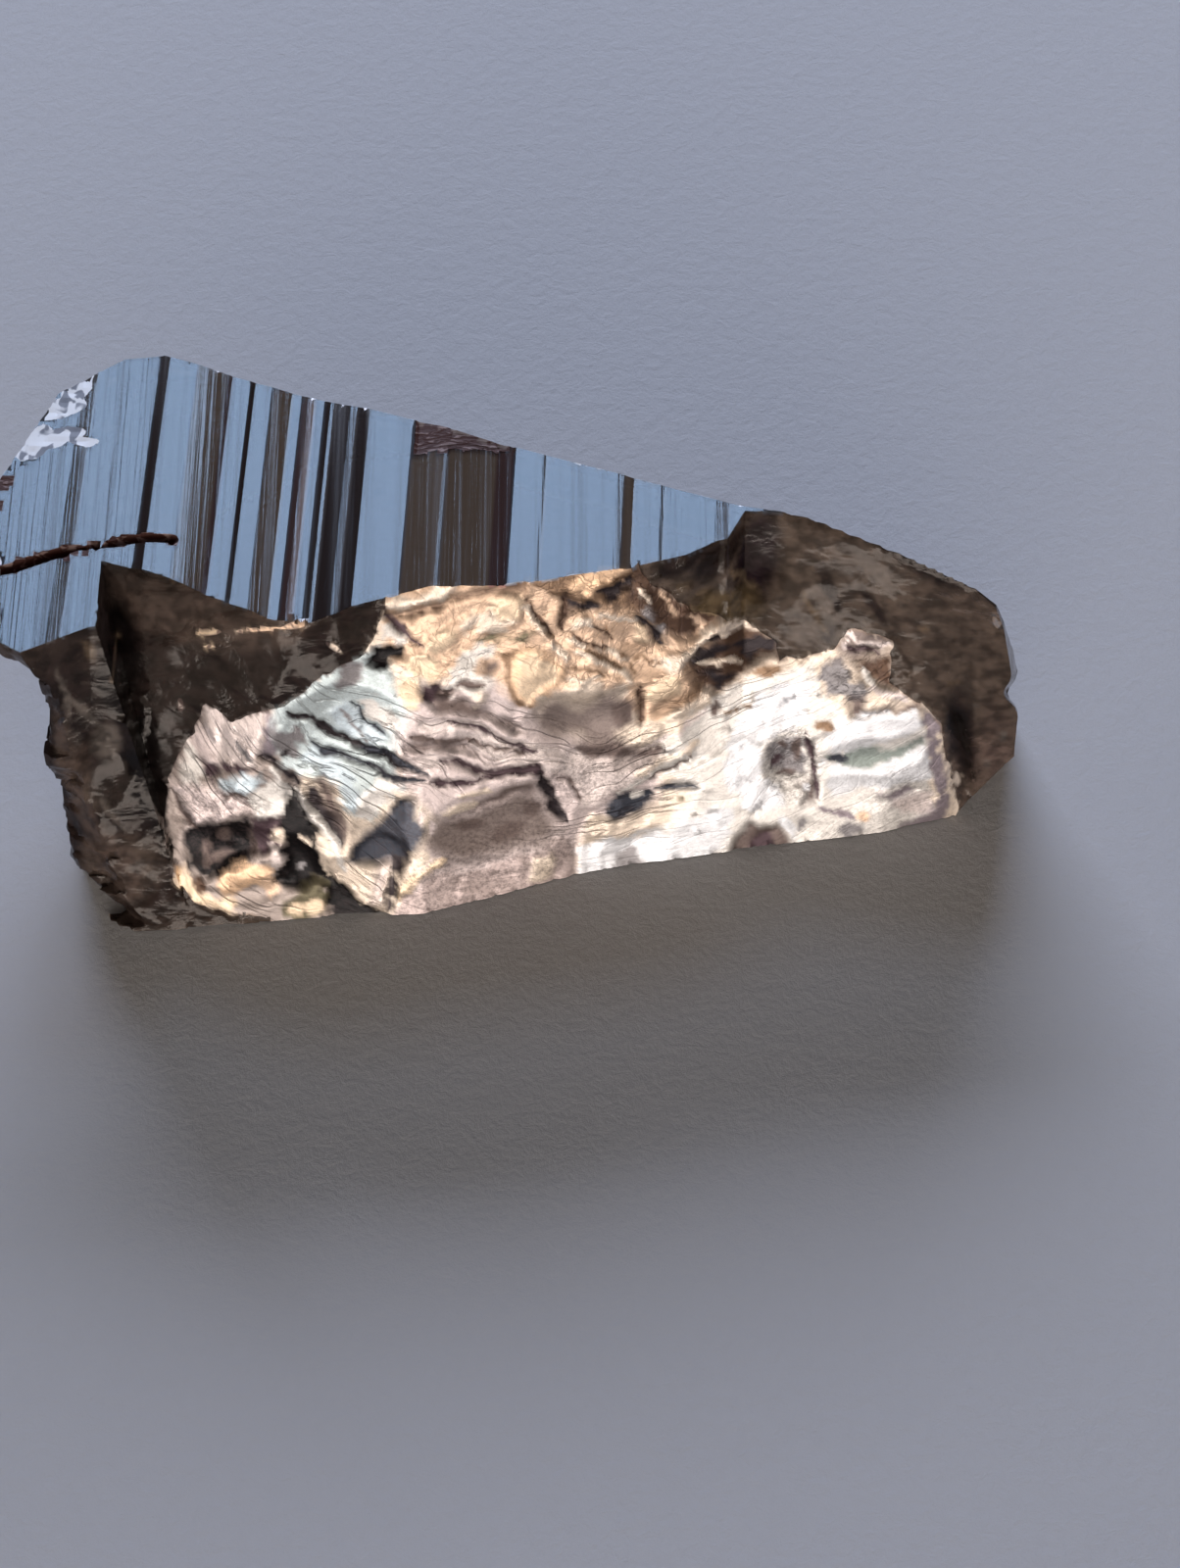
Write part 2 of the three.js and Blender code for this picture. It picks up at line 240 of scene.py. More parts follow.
class ReliefMap:
    """A relief drawn over two coordinates of a face, and read between its grid points."""

    def __init__(self, low, high, draw):
        self.low = np.array(low, float)
        counts = np.ceil((np.array(high) - self.low) / MAP_STEP).astype(int) + 1
        axes = [self.low[k] + MAP_STEP * np.arange(counts[k]) for k in (0, 1)]
        u, v = np.meshgrid(*axes, indexing="ij")
        self.grid = draw(u, v)

    def at(self, u, v):
        a = np.clip((u - self.low[0]) / MAP_STEP, 0, self.grid.shape[0] - 1.001)
        b = np.clip((v - self.low[1]) / MAP_STEP, 0, self.grid.shape[1] - 1.001)
        i, j = a.astype(int), b.astype(int)
        a, b = a - i, b - j
        low = self.grid[i, j] * (1 - a) + self.grid[i + 1, j] * a
        high = self.grid[i, j + 1] * (1 - a) + self.grid[i + 1, j + 1] * a
        return low * (1 - b) + high * b


def stroke(u, v, path, half_width):
    """1 along the middle of a line through points, 0 at its half width and beyond; it tapers to both ends."""
    tip, swelling = 0.35, 5  # width at the ends, and how soon it is whole
    best = np.zeros(u.shape)
    count = len(path) - 1
    for k, ((x0, z0), (x1, z1)) in enumerate(zip(path[:-1], path[1:])):
        length = (x1 - x0) ** 2 + (z1 - z0) ** 2
        t = np.clip(((u - x0) * (x1 - x0) + (v - z0) * (z1 - z0)) / length, 0, 1)
        away = np.hypot(u - x0 - t * (x1 - x0), v - z0 - t * (z1 - z0))
        run = (k + t) / count
        taper = np.clip(swelling * np.minimum(run, 1 - run) + tip, 0, 1)
        best = np.maximum(best, 1 - away / (half_width * taper))
    return best


def outline_share(u, v, points, soft):
    """1 inside a closed outline, 0 outside it, with a soft edge."""
    share = np.zeros(u.shape)
    low, high = np.min(points, axis=0) - soft, np.max(points, axis=0) + soft
    near = (u > low[0]) & (u < high[0]) & (v > low[1]) & (v < high[1])
    s, t = u[near], v[near]
    away, inside = np.full(s.shape, 99.0), np.zeros(s.shape, bool)
    for (x0, z0), (x1, z1) in zip(points, points[1:] + points[:1]):
        dx, dz = x1 - x0, (z1 - z0) or 1e-9  # a level side would divide by 0
        k = np.clip(((s - x0) * dx + (t - z0) * dz) / (dx * dx + dz * dz), 0, 1)
        away = np.minimum(away, np.hypot(s - x0 - k * dx, t - z0 - k * dz))
        inside ^= ((z0 > t) != (z1 > t)) & (s < x0 + (t - z0) * dx / dz)
    share[near] = np.clip(0.5 + 0.5 * np.where(inside, away, -away) / soft, 0, 1)
    return share


# ---- Finish of the front break, partly painted glare, over x and z ----

# Tints of the bright part of the break. Their pale lightness is partly painted light: the glare of light that
# passes through the crystal and reflects off its fracture films. Their hues are the films' own.
TINTS = {
    "white": (0.90, 0.90, 0.94),
    "warm_white": (0.88, 0.83, 0.79),
    "cream": (0.94, 0.79, 0.66),
    "pale_gold": (1.0, 0.775, 0.56),
    "gold": (1.0, 0.68, 0.45),
    "tan": (0.92, 0.65, 0.47),
    "bronze": (0.30, 0.19, 0.12),
    "blush": (0.44, 0.365, 0.335),
    "pink": (0.83, 0.70, 0.685),
    "rose": (0.62, 0.50, 0.48),
    "pale_pink": (0.88, 0.76, 0.73),
    "lavender": (0.30, 0.25, 0.28),
    "pale_blue": (0.64, 0.74, 0.81),
    "teal": (0.68, 0.77, 0.79),
    "grey_green": (0.26, 0.30, 0.28),
    "grey": (0.30, 0.28, 0.29),
    "grey_blue": (0.085, 0.09, 0.115),
    "umber": (0.15, 0.11, 0.10),
    "dusk": (0.24, 0.19, 0.175),
    "mauve": (0.075, 0.045, 0.055),
    "brown": (0.10, 0.055, 0.035),
    "olive": (0.15, 0.13, 0.08),
    "slate": (0.035, 0.040, 0.056),
    "dark": (0.022, 0.016, 0.019),
    "black": (0.006, 0.005, 0.006),
}
# How deep the break lies where it has each tint, mm; the others lie at PLATE_DEPTH.
TINT_DEPTH = {
    "white": 0.0, "warm_white": 0.01, "cream": 0.01, "pale_gold": 0.0, "gold": 0.02, "umber": 0.09,
    "mauve": 0.1, "brown": 0.1, "slate": 0.1, "dark": 0.11, "black": 0.13,
}
PLATE_DEPTH = 0.05
PLATE_TILT = 0.07  # most slope of a plate
CALM_SIZE = 1.2  # a plate longer than this, mm, slopes less
PLATE_STEP = 0.09  # half width of the step at a plate's edge, mm
SMOOTH_TINTS = ("white", "warm_white")  # plates of painted glare that run into each other without a step
# Width of the soft edge of plates that fade out; the others end in splinters.
TINT_SOFTNESS = {"dusk": 0.28, "bronze": 0.25, "umber": 0.14, "brown": 0.16, "grey_blue": 0.12, "pink": 0.2}

# Outline of the bright part of the break, whose lightness is partly painted glare, (x, z).
BRIGHT = [
    (-9.95, 1.3), (-9.3, 0.7), (-8.5, 0.4), (-7.3, 0.05), (-6.5, -0.5), (13.5, -0.5), (13.3, 0.3), (13.1, 1),
    (12.9, 1.8), (12.7, 2.6), (12.55, 3.2), (12, 3.9), (11.5, 4.1), (11, 4.5), (11, 5.6), (10.5, 5.9),
    (9.8, 6), (9.4, 5.5), (8.6, 5.3), (7.7, 5.2), (7.7, 5.7), (6.9, 6.2), (6, 6.6), (5.2, 7.1), (4.6, 7.7),
    (4.1, 8.1), (3.6, 8.8), (3.2, 9.5), (-3.5, 9.5), (-3.6, 8.6), (-4, 7.9), (-4.3, 7.5), (-5, 7.4),
    (-5.5, 7.1), (-6.2, 6.6), (-6.6, 6.3), (-7.5, 6.1), (-8.1, 5.8), (-8.9, 6.1), (-9.2, 5.3), (-9.5, 4.9),
    (-10, 4.1), (-10.15, 3), (-10, 2.2),
]
# Painted glints on edges and ledges outside it: (x, z, half width, half length, turn).
PAINTED_GLINTS = [
    (-9.6, 5.95, 0.1, 0.2, 0), (-8.75, 8, 0.4, 0.08, 14), (-8.7, 7.65, 0.2, 0.06, 8),
    (-7.2, 8.35, 0.8, 0.05, 12), (-6.2, 8.62, 0.35, 0.1, 20), (-5.1, 7.9, 0.3, 0.08, -40),
    (13.15, 1.1, 0.12, 0.3, 20), (14.05, 6.5, 0.09, 0.22, 20),
]
# Plates of the break, the later ones over the earlier: (tint, outline).
PLATES = [
    # lower left corner
    ("blush", [(-10.3, 0), (-10.3, 6.5), (-6.5, 6.5), (-6, 3), (-5, -0.5), (-9, -0.5)]),
    ("pale_pink", [(-8.9, 6.2), (-8.5, 6.1), (-8.1, 5.9), (-7.6, 6.2), (-7.1, 6.3), (-7.3, 5.2),
        (-7.5, 4.7), (-8.1, 4.6), (-8.6, 4.7), (-8.8, 5.2)]),
    ("pink", [(-9.3, 5.4), (-8.85, 5.4), (-8.7, 4.8), (-8.5, 4.5), (-9, 4.5), (-9.4, 4.9)]),
    ("lavender", [(-7.1, 6.1), (-6.8, 6), (-6.8, 5.3), (-7, 4.9), (-7.35, 4.9), (-7.25, 5.5)]),
    ("warm_white", [(-9.5, 5), (-9.2, 4.8), (-9, 4.2), (-9.2, 3.9), (-9.5, 3.9), (-9.6, 3.4), (-9.6, 4.4)]),
    ("mauve", [(-9.2, 4.7), (-8.7, 4.5), (-8.1, 4.6), (-7.5, 4.6), (-7.9, 4.35), (-8.4, 4.3), (-8.7, 3.9),
        (-9, 4.2)]),
    ("pale_blue", [(-8.6, 3.9), (-8.2, 4.2), (-7.7, 4.4), (-7.3, 4.4), (-7.3, 4.1), (-7.6, 3.85),
        (-8.2, 3.8)]),
    ("pink", [(-9.9, 3.9), (-9.2, 3.9), (-8.5, 3.75), (-7.7, 3.7), (-7.6, 3.4), (-8.2, 3.2), (-8.9, 2.9),
        (-9.4, 2.7), (-9.5, 3.3)]),
    ("warm_white", [(-7.6, 3.8), (-7.2, 4.1), (-6.9, 4.2), (-6.6, 3.9), (-6.2, 3.3), (-6.1, 2.9),
        (-6.3, 2.8), (-6.8, 3.1), (-7.1, 3), (-7.4, 2.9), (-7.6, 3.3)]),
    ("black", [(-9.4, 2.7), (-8.9, 3), (-8, 3.15), (-7.7, 3.2), (-7.6, 2.7), (-7.4, 2.1), (-8, 1.9),
        (-8.5, 1.5), (-9.1, 1.4), (-9.5, 1.7), (-9.7, 2.2)]),
    ("mauve", [(-7.7, 3.1), (-7.2, 3), (-6.7, 3.1), (-6.6, 2.5), (-6.9, 2.1), (-7.3, 2), (-7.6, 2.5)]),
    ("pale_pink", [(-6.95, 2.1), (-6.75, 2.1), (-6.55, 1.2), (-6.9, 1.3)]),
    ("gold", [(-8.6, 1.2), (-8, 1.7), (-7.5, 1.7), (-7, 1.5), (-7.1, 1.2), (-7.8, 1), (-8.5, 0.95)]),
    ("pale_gold", [(-9.98, 1.6), (-9.7, 1.7), (-9.3, 1.2), (-8.8, 0.9), (-8.3, 0.7), (-8.2, 0.3),
        (-8.7, 0.4), (-9.3, 0.7), (-9.98, 1.2)]),
    ("tan", [(-7.5, 1), (-7, 1.2), (-6.9, 0.8), (-7.2, 0.55)]),
    ("black", [(-6.8, 2.7), (-6.6, 3.6), (-6.3, 3.5), (-5.9, 2.7), (-5.6, 2), (-5.3, 1.1), (-5.1, 0.4),
        (-5.6, 0.3), (-5.8, 0.9), (-6.4, 0.9), (-7, 1), (-6.6, 1.7)]),
    ("olive", [(-6.9, 0.6), (-6, 1), (-5.5, 0.9), (-5.4, 0.2), (-6, -0.2), (-6.9, 0)]),
    # pale blue plates
    ("teal", [(-7, 6.3), (-6.2, 6.7), (-5, 7.5), (-4.1, 7.6), (-3.6, 6.8), (-3.4, 6.2), (-2.9, 5.8),
        (-2.9, 5), (-3.5, 4.6), (-3.4, 4.2), (-3.2, 3.7), (-3.7, 3.4), (-4, 3), (-4.2, 2.7), (-4.6, 2.9),
        (-4.9, 3.3), (-5.3, 4), (-5.8, 4.2), (-6.4, 4.3), (-6.8, 4.8), (-6.9, 5.4)]),
    ("pale_blue", [(-5.3, 5.9), (-4.9, 6.2), (-4.3, 5.8), (-3.8, 5.3), (-3.6, 4.9), (-4.2, 4.8),
        (-4.8, 5.1), (-5.2, 5.4)]),
    ("warm_white", [(-4.4, 6.1), (-3.9, 6.2), (-3.2, 5.7), (-3.1, 5.3), (-3.6, 5.3), (-4.1, 5.7)]),
    ("pale_blue", [(-5.8, 5), (-5.2, 4.6), (-4.7, 4.1), (-4.4, 3.6), (-4.2, 3.1), (-4.7, 3.1), (-5.1, 3.8),
        (-5.6, 4.4), (-6.1, 4.6)]),
    ("warm_white", [(-4.4, 3.6), (-3.9, 4), (-3.3, 3.9), (-3.6, 3.4), (-4.1, 2.9), (-4.3, 2.7), (-4.6, 3)]),
    ("grey", [(-5.1, 7.2), (-4.8, 7.4), (-4.3, 7.3), (-4.2, 6.9), (-4.6, 6.6), (-5, 6.7)]),
    ("grey", [(-7, 5.8), (-6.3, 5.6), (-6, 5.2), (-6.4, 4.7), (-6.8, 5)]),
    ("black", [(-6.5, 4.2), (-6.3, 3.8), (-6, 3.1), (-5.6, 2.5), (-5.8, 2.3), (-6.2, 2.9), (-6.5, 3.4),
        (-6.7, 3.9)]),
    ("dark", [(-6.2, 3.9), (-5.7, 4), (-5.4, 3.5), (-5.1, 2.9), (-4.9, 2.2), (-4.9, 1.9), (-5.2, 2.2),
        (-5.6, 2.9), (-6, 3.4)]),
    ("umber", [(-5.7, 4.1), (-5.4, 4.1), (-5.1, 3.5), (-4.9, 3), (-4.7, 2.5), (-4.9, 2.2), (-5.2, 2.9),
        (-5.5, 3.5)]),
    # blue-black hollow and the foot beside it
    ("grey_blue", [(-4.85, 1.65), (-4.55, 2), (-4.3, 2.4), (-3.9, 2.6), (-3.6, 3.1), (-3.15, 3.3),
        (-2.85, 3.1), (-2.95, 2.7), (-2.5, 2.4), (-2.9, 1.8), (-3.4, 1.5), (-4, 1.45), (-4.5, 1.5)]),
    ("slate", [(-4.85, 1.65), (-4.5, 2), (-4.1, 2.3), (-3.7, 2.1), (-3.2, 2), (-3, 1.6), (-3.4, 1.4),
        (-4.4, 1.45)]),
    ("slate", [(-3.6, 3), (-3.2, 3.3), (-2.9, 3.2), (-3.3, 2.8), (-3.5, 2.5)]),
    ("dark", [(-3.5, 1.55), (-3.15, 1.6), (-3.4, 0.9), (-3.7, 0.1), (-3.9, 0.1), (-3.7, 0.9)]),
    ("cream", [(-5.05, 1.45), (-4.5, 1.4), (-4, 1.35), (-3.65, 1.35), (-3.9, 0.5), (-4.4, 0.25),
        (-4.9, 0.75), (-5.2, 1.05)]),
    ("pink", [(-4, 1.35), (-3.65, 1.4), (-3.9, 0.5), (-4.2, 0.35)]),
    ("black", [(-5.4, 0.9), (-5, 0.85), (-4.5, 0.25), (-4, 0.2), (-3.8, 0.1), (-4, -0.3), (-5.4, -0.3),
        (-5.6, 0.3)]),
    # pink plates across the middle
    ("pink", [(-3.4, 5.2), (-2.6, 6.4), (-0.6, 6.2), (0.4, 5.5), (0.9, 4.6), (1.9, 4), (4.4, 2.9),
        (4.2, 1.8), (2, 1.2), (1.8, -0.5), (-3.8, -0.5), (-2.9, 1.2), (-2.2, 2.6), (-3.4, 3.8)]),
    ("pale_pink", [(-3.4, 4.3), (-3.2, 4.5), (-2.5, 4.5), (-1.7, 4.2), (-2.2, 4.05), (-3, 4.1)]),
    ("pale_pink", [(-2.8, 5.2), (-2.7, 5.5), (-2.2, 5.4), (-1.4, 5.3), (-0.7, 5.05), (0, 4.5), (0.3, 4.1),
        (-0.5, 4.4), (-1.2, 4.9), (-2, 5)]),
    ("pale_pink", [(-1.9, 4.9), (-1, 4.8), (0, 4.4), (0.9, 4), (1.6, 3.7), (1.2, 3.1), (0.8, 3.2),
        (0.2, 3.5), (-0.5, 3.9), (-1.2, 4.4)]),
    ("umber", [(-2.4, 6), (-2, 6.05), (-1.4, 5.9), (-1.2, 5.7), (-0.6, 5.5), (0, 4.9), (0.3, 4.55),
        (0, 4.55), (-0.7, 5.1), (-1.5, 5.4), (-2.2, 5.5)]),
    ("umber", [(-3.2, 4.75), (-2.8, 4.9), (-2, 4.75), (-1.5, 4.5), (-1.1, 4.2), (-1.6, 4.3), (-2.2, 4.55),
        (-2.9, 4.6)]),
    ("dusk", [(-2.6, 2), (-2.2, 2.6), (-1.2, 2.45), (-0.2, 2.7), (0.6, 2.75), (1, 2.1), (1.3, 1.35),
        (0.75, 1.1), (-0.4, 1.15), (-1.5, 1.25), (-2.1, 1.35)]),
    ("umber", [(-1.6, 2.7), (-0.9, 2.75), (-0.3, 2.95), (0.6, 3.05), (0.7, 2.75), (-0.2, 2.65),
        (-1.2, 2.5)]),
    ("rose", [(-3.5, 0.3), (-2.8, 0.9), (-2, 1), (-1, 0.9), (0, 0.9), (0.9, 1.1), (1.6, 1), (1.8, 0.5),
        (1.5, -0.5), (-3.8, -0.5)]),
    ("cream", [(0.4, 0.2), (0.6, 0.9), (1.1, 1), (1.3, 0.5), (0.8, 0.1)]),
    ("pale_pink", [(1.5, 3.6), (1.9, 3.9), (2.3, 3.6), (3.4, 3.2), (4.2, 2.9), (4, 2.5), (3, 2.3), (2.6, 2),
        (2, 1.9), (1.9, 2.4), (1.5, 2.9)]),
    # gold plates under the crest, their gold partly a painted glow of light through the brown crystal
    ("tan", [(-3.7, 7.2), (-3.6, 9.5), (3.6, 9.5), (4.6, 7.6), (5.9, 6.5), (5.9, 4.9), (4.3, 4), (3.6, 4.2),
        (3.2, 5.3), (1.2, 5.6), (0, 5.4), (-0.6, 6.2), (-2.6, 6.5)]),
    ("bronze", [(0.3, 9.5), (0.3, 8.5), (1.2, 8), (1.6, 7.6), (3, 7.6), (4.4, 7), (5.9, 6.6), (5.9, 9.5)]),
    ("brown", [(3.2, 9.5), (3.4, 8.6), (3.4, 7.8), (4.4, 6.6), (5.2, 6.3), (6.2, 6.6), (6, 9.5)]),
    ("cream", [(-3.7, 8.85), (-2.7, 8.85), (-1.85, 9.2), (-1.3, 9.2), (-1.9, 8.65), (-2.75, 8.6),
        (-3.6, 8.45)]),
    ("brown", [(-3.6, 8.4), (-2.7, 8.55), (-1.3, 8.75), (-0.3, 8.95), (0.4, 8.9), (0.4, 8.6), (-0.7, 8.55),
        (-1.8, 8.4), (-3, 8.1)]),
    ("tan", [(-3.2, 8.25), (-2.5, 8.35), (-1.5, 8.5), (-0.5, 8.55), (-0.5, 8.2), (-1.5, 8.1), (-2.2, 7.8),
        (-2.9, 7.75)]),
    ("warm_white", [(-4, 7.5), (-3.6, 8.2), (-3.4, 8.2), (-2.9, 7.65), (-3.2, 7.5), (-3.6, 7.9),
        (-3.8, 7.5)]),
    ("black", [(-4.1, 7.2), (-3.9, 7.6), (-3.3, 7.6), (-3, 7.6), (-3.2, 7.3), (-3.8, 7)]),
    ("pale_gold", [(-2.6, 7.5), (-2.2, 7.8), (-1.65, 7.95), (-1.4, 7.65), (-1.8, 7.35), (-2.3, 7.25)]),
    ("cream", [(-1.65, 7.9), (-1.3, 8.15), (-1, 8.05), (-1.05, 7.8), (-1.35, 7.65)]),
    ("cream", [(-1, 7.5), (-0.85, 7.95), (-0.45, 8.15), (-0.1, 7.9), (0.15, 7.75), (0.05, 7.5),
        (-0.55, 7.45)]),
    ("pale_gold", [(-0.5, 8.4), (-0.2, 8.55), (0.15, 8.45), (0.3, 8.1), (0.2, 7.65), (-0.2, 7.85),
        (-0.4, 8)]),
    ("olive", [(-1.05, 7.35), (-0.8, 7.45), (0.2, 7.4), (0.35, 7.6), (0.65, 7.4), (0.6, 7.25), (0.2, 7.1),
        (-0.6, 7.15)]),
    ("pale_gold", [(-3.2, 7), (-2.9, 7.3), (-2.5, 7.3), (-2.1, 6.95), (-1.95, 6.6), (-2.1, 6.45),
        (-2.7, 6.5), (-3, 6.7)]),
    ("pale_gold", [(-3.3, 6.4), (-3, 6.6), (-2.7, 6.4), (-2.6, 6.1), (-2.75, 5.85), (-3.1, 5.85)]),
    ("mauve", [(-2.6, 6.4), (-2, 6.35), (-1.8, 6.05), (-2.2, 5.95), (-2.3, 5.75), (-2.55, 6.05)]),
    ("warm_white", [(-1.75, 6.6), (-1.5, 7.1), (-1.05, 7.25), (-0.45, 7.05), (-0.55, 6.85), (-0.9, 6.75),
        (-0.95, 6.5), (-0.7, 6.4), (-0.6, 6.1), (-0.9, 5.95), (-1.7, 6), (-1.9, 6.2)]),
    ("umber", [(-0.95, 6.5), (-0.75, 6.75), (-0.35, 6.7), (-0.4, 6.45), (-0.75, 6.3)]),
    ("gold", [(-0.2, 6), (-0.15, 6.6), (0, 6.95), (0.55, 7), (0.95, 6.7), (1.4, 6.3), (1.5, 6),
        (1.25, 5.75), (0.8, 5.5), (0.55, 5.3), (0.1, 5.45)]),
    ("pale_gold", [(0.1, 6.1), (0.15, 6.6), (0.35, 6.85), (0.6, 6.85), (0.95, 6.5), (1.2, 6.2), (1.1, 5.9),
        (0.8, 5.6), (0.5, 5.5), (0.25, 5.65)]),
    ("cream", [(-1.2, 5.7), (-1, 5.9), (-0.7, 5.85), (-0.7, 5.6), (-1, 5.5)]),
    ("pink", [(-0.7, 6.1), (-0.3, 5.9), (0, 5.5), (0.4, 5.1), (0.6, 4.7), (0.2, 4.9), (-0.4, 5.2),
        (-0.8, 5.5)]),
    ("tan", [(0.55, 8.75), (0.9, 8.5), (1.3, 8.2), (1.35, 7.9), (1.2, 7.3), (0.95, 7.5), (0.6, 8.05)]),
    ("cream", [(0.35, 8.1), (0.65, 7.85), (1.05, 7.15), (0.9, 7.15), (0.5, 7.6)]),
    ("dark", [(1.25, 8.35), (1.6, 8.2), (2, 8.15), (2.5, 7.85), (2.3, 7.5), (1.65, 7.8), (1.4, 8.05)]),
    ("gold", [(1.6, 8.5), (2, 8.8), (2.5, 9.2), (3.4, 9.2), (3.5, 8.8), (3.05, 8.5), (2.9, 8.3),
        (2.45, 8.3), (2.3, 8.1), (1.95, 8.25)]),
    ("dark", [(2.5, 8.2), (2.95, 8.25), (3.4, 8.5), (3.5, 8.1), (2.9, 7.9), (2.6, 8)]),
    ("tan", [(1.55, 7.5), (2.25, 7.65), (3, 7.4), (3.2, 6.9), (3, 6.3), (2.45, 6.4), (1.85, 6.55),
        (1.5, 6.95)]),
    ("pale_gold", [(3.4, 7.1), (3.7, 7.05), (3.95, 6.7), (4, 6.4), (3.6, 6.4), (3.4, 6.65)]),
    ("bronze", [(3.2, 6.5), (4, 6.35), (3.9, 6.15), (3.3, 6.2)]),
    ("grey", [(3.75, 7.45), (4, 7.35), (4.5, 6.5), (4.3, 6.5), (3.95, 6.95)]),
    ("cream", [(4.5, 6), (5.15, 6.15), (5.5, 6.3), (6, 6.4), (5.95, 6.15), (5.2, 5.85), (4.9, 5.5),
        (4.55, 5.4), (4, 5.9)]),
    ("pale_gold", [(3.9, 4.85), (4.1, 5.3), (4.5, 5.45), (4.85, 5.3), (4.8, 5), (4.5, 4.7), (4.1, 4.6)]),
    ("bronze", [(4.6, 4.8), (5.2, 5.2), (5.9, 4.9), (5.6, 4.6), (5, 4.3), (4.3, 4.2), (4.1, 4.3)]),
    ("cream", [(5, 4.5), (5.6, 4.7), (5.8, 4.9), (6, 4.6), (5.2, 4.2), (4.5, 4.1)]),
    ("brown", [(4.9, 5.7), (6.2, 6.2), (7.2, 6.2), (8, 5.5), (7.2, 5.2), (6.2, 4.5), (5.8, 4.5), (5.2, 5)]),
    ("dark", [(4.95, 5.55), (5.35, 6), (6, 6.05), (6.2, 5.8), (5.9, 5.55), (5.4, 5.45)]),
    ("dark", [(6.3, 5.75), (6.9, 6), (7.35, 5.85), (7.95, 5.45), (7.3, 5.35), (6.8, 5.2), (6.7, 5.4)]),
    ("dark", [(5.2, 5.3), (5.9, 5.2), (6.6, 4.95), (6.3, 4.75), (5.95, 4.45), (5.8, 4.9)]),
    ("cream", [(1.6, 5.6), (2.05, 5.65), (2.4, 5.5), (2.35, 5.1), (2.2, 4.95), (2, 5), (1.65, 5.15)]),
    # smooth brown hollow
    ("dusk", [(0.5, 4.9), (0.8, 5.3), (1.3, 5.4), (1.65, 5.1), (2.1, 4.9), (2.4, 5.05), (2.5, 5.25),
        (3, 5.25), (3.4, 4.7), (3.5, 4.2), (3.1, 3.9), (3.1, 3.7), (3.4, 3.4), (4.3, 3.3), (4.7, 3.6),
        (4.4, 3.1), (3.6, 2.9), (3, 3), (2.2, 3.6), (1.8, 4), (1.2, 4.1), (0.7, 4.4)]),
    ("cream", [(3.1, 3.9), (3.3, 4.1), (3.9, 4.1), (4.4, 3.9), (4.2, 3.6), (4, 3.4), (3.5, 3.4),
        (3.3, 3.6)]),
    # white part on the right, painted glare of light through the thin end
    ("warm_white", [(4.1, 3.1), (4.7, 3.6), (5.2, 4.1), (6.2, 4.6), (7.2, 4.8), (8.1, 5.1), (8.8, 5.2),
        (9, 4.4), (9.3, 4), (9.8, 3.6), (12, 3.6), (12.3, 2.4), (12.4, 1.2), (12.4, 0.3), (11, -0.5),
        (6, -0.5), (3.7, -0.5), (3.8, 0.8), (4.4, 1.2), (5.3, 1.7), (4.5, 1.9), (4.9, 2.3), (4.2, 2.5),
        (4.8, 2.9)]),
    ("white", [(6.2, 3.2), (7, 4.3), (8.6, 4.8), (8.6, 3.6), (8.2, 3.2), (7.2, 3), (7.4, 2), (8.1, 1.5),
        (8, 1.1), (7, 1.1), (6.2, 2)]),
    ("white", [(4.3, 0.4), (4.9, 1.2), (6.2, 1.4), (6.6, 1), (6.5, 0.5), (6, 0.1), (5, -0.3), (4.2, -0.3)]),
    ("grey", [(8.9, 5.1), (9.5, 5.1), (9.8, 4.7), (10.4, 4.3), (10.2, 4), (9.6, 4.1), (9.1, 4.2),
        (8.9, 4.7)]),
    ("dusk", [(9.3, 5.3), (9.6, 6.3), (10.3, 6.2), (11.2, 5.8), (11, 5.3), (10.4, 5.2), (9.9, 5)]),
    ("brown", [(10, 5.15), (11.4, 5.3), (11.6, 4.6), (11.3, 4.2), (10.5, 4.4), (10.1, 4.7)]),
    ("umber", [(9.8, 4.1), (10.3, 4.1), (10.3, 3.6), (11.9, 3.9), (12.1, 3.6), (10.3, 3.5), (9.9, 3.5)]),
    ("white", [(9.3, 3.2), (9.6, 3.5), (10.4, 3.5), (11.2, 3.6), (11.9, 3.6), (12, 3.2), (11.9, 2.9),
        (11.2, 2.7), (10.4, 2.6), (9.6, 2.5), (9.2, 2.6)]),
    ("grey_green", [(9.2, 2.5), (9.5, 2.35), (10.2, 2.65), (11, 2.6), (11.7, 2.7), (12, 2.75), (12.1, 2.5),
        (11.4, 2.25), (10.6, 2.05), (10.1, 1.95), (9.5, 2.1)]),
    ("white", [(9.1, 2.3), (10.2, 1.95), (11.3, 2.2), (12.1, 2.4), (12.4, 2), (12.4, 1.3), (11.8, 1.4),
        (11, 1.3), (10.3, 1.5), (9.4, 1.3)]),
    ("lavender", [(10.7, 1.3), (11.1, 1.25), (11.7, 1.4), (12, 1.2), (11.9, 0.9), (11.2, 0.85), (10.9, 1)]),
    ("pale_pink", [(11.2, 0.9), (12.2, 1.1), (12.5, 0.8), (12.3, 0.3), (11.6, 0.5)]),
    ("lavender", [(11.5, 0.1), (12.5, 0.3), (13, 0.2), (12.9, -0.4), (11.5, -0.4)]),
    ("lavender", [(12.1, 3.7), (12.5, 3.3), (12.6, 2.6), (12.75, 1.8), (12.9, 1), (13, 0.2), (12.5, 0.2),
        (12.4, 1.2), (12.3, 2), (12.1, 2.8)]),
    ("grey", [(7.4, 2.9), (7.6, 3.1), (8.2, 3), (8.5, 3.1), (8.6, 2.6), (8.6, 2), (8, 2), (7.5, 2.2),
        (7.5, 2.6)]),
    ("umber", [(8.3, 1.7), (8.9, 1.9), (8.9, 1.1), (8.5, 1.1), (8.6, 1.5)]),
    ("umber", [(6.3, -0.1), (6.6, 0.35), (7, 0.7), (7.4, 0.6), (7.9, 0.65), (8.05, 0.2), (8.2, -0.4),
        (6.2, -0.4)]),
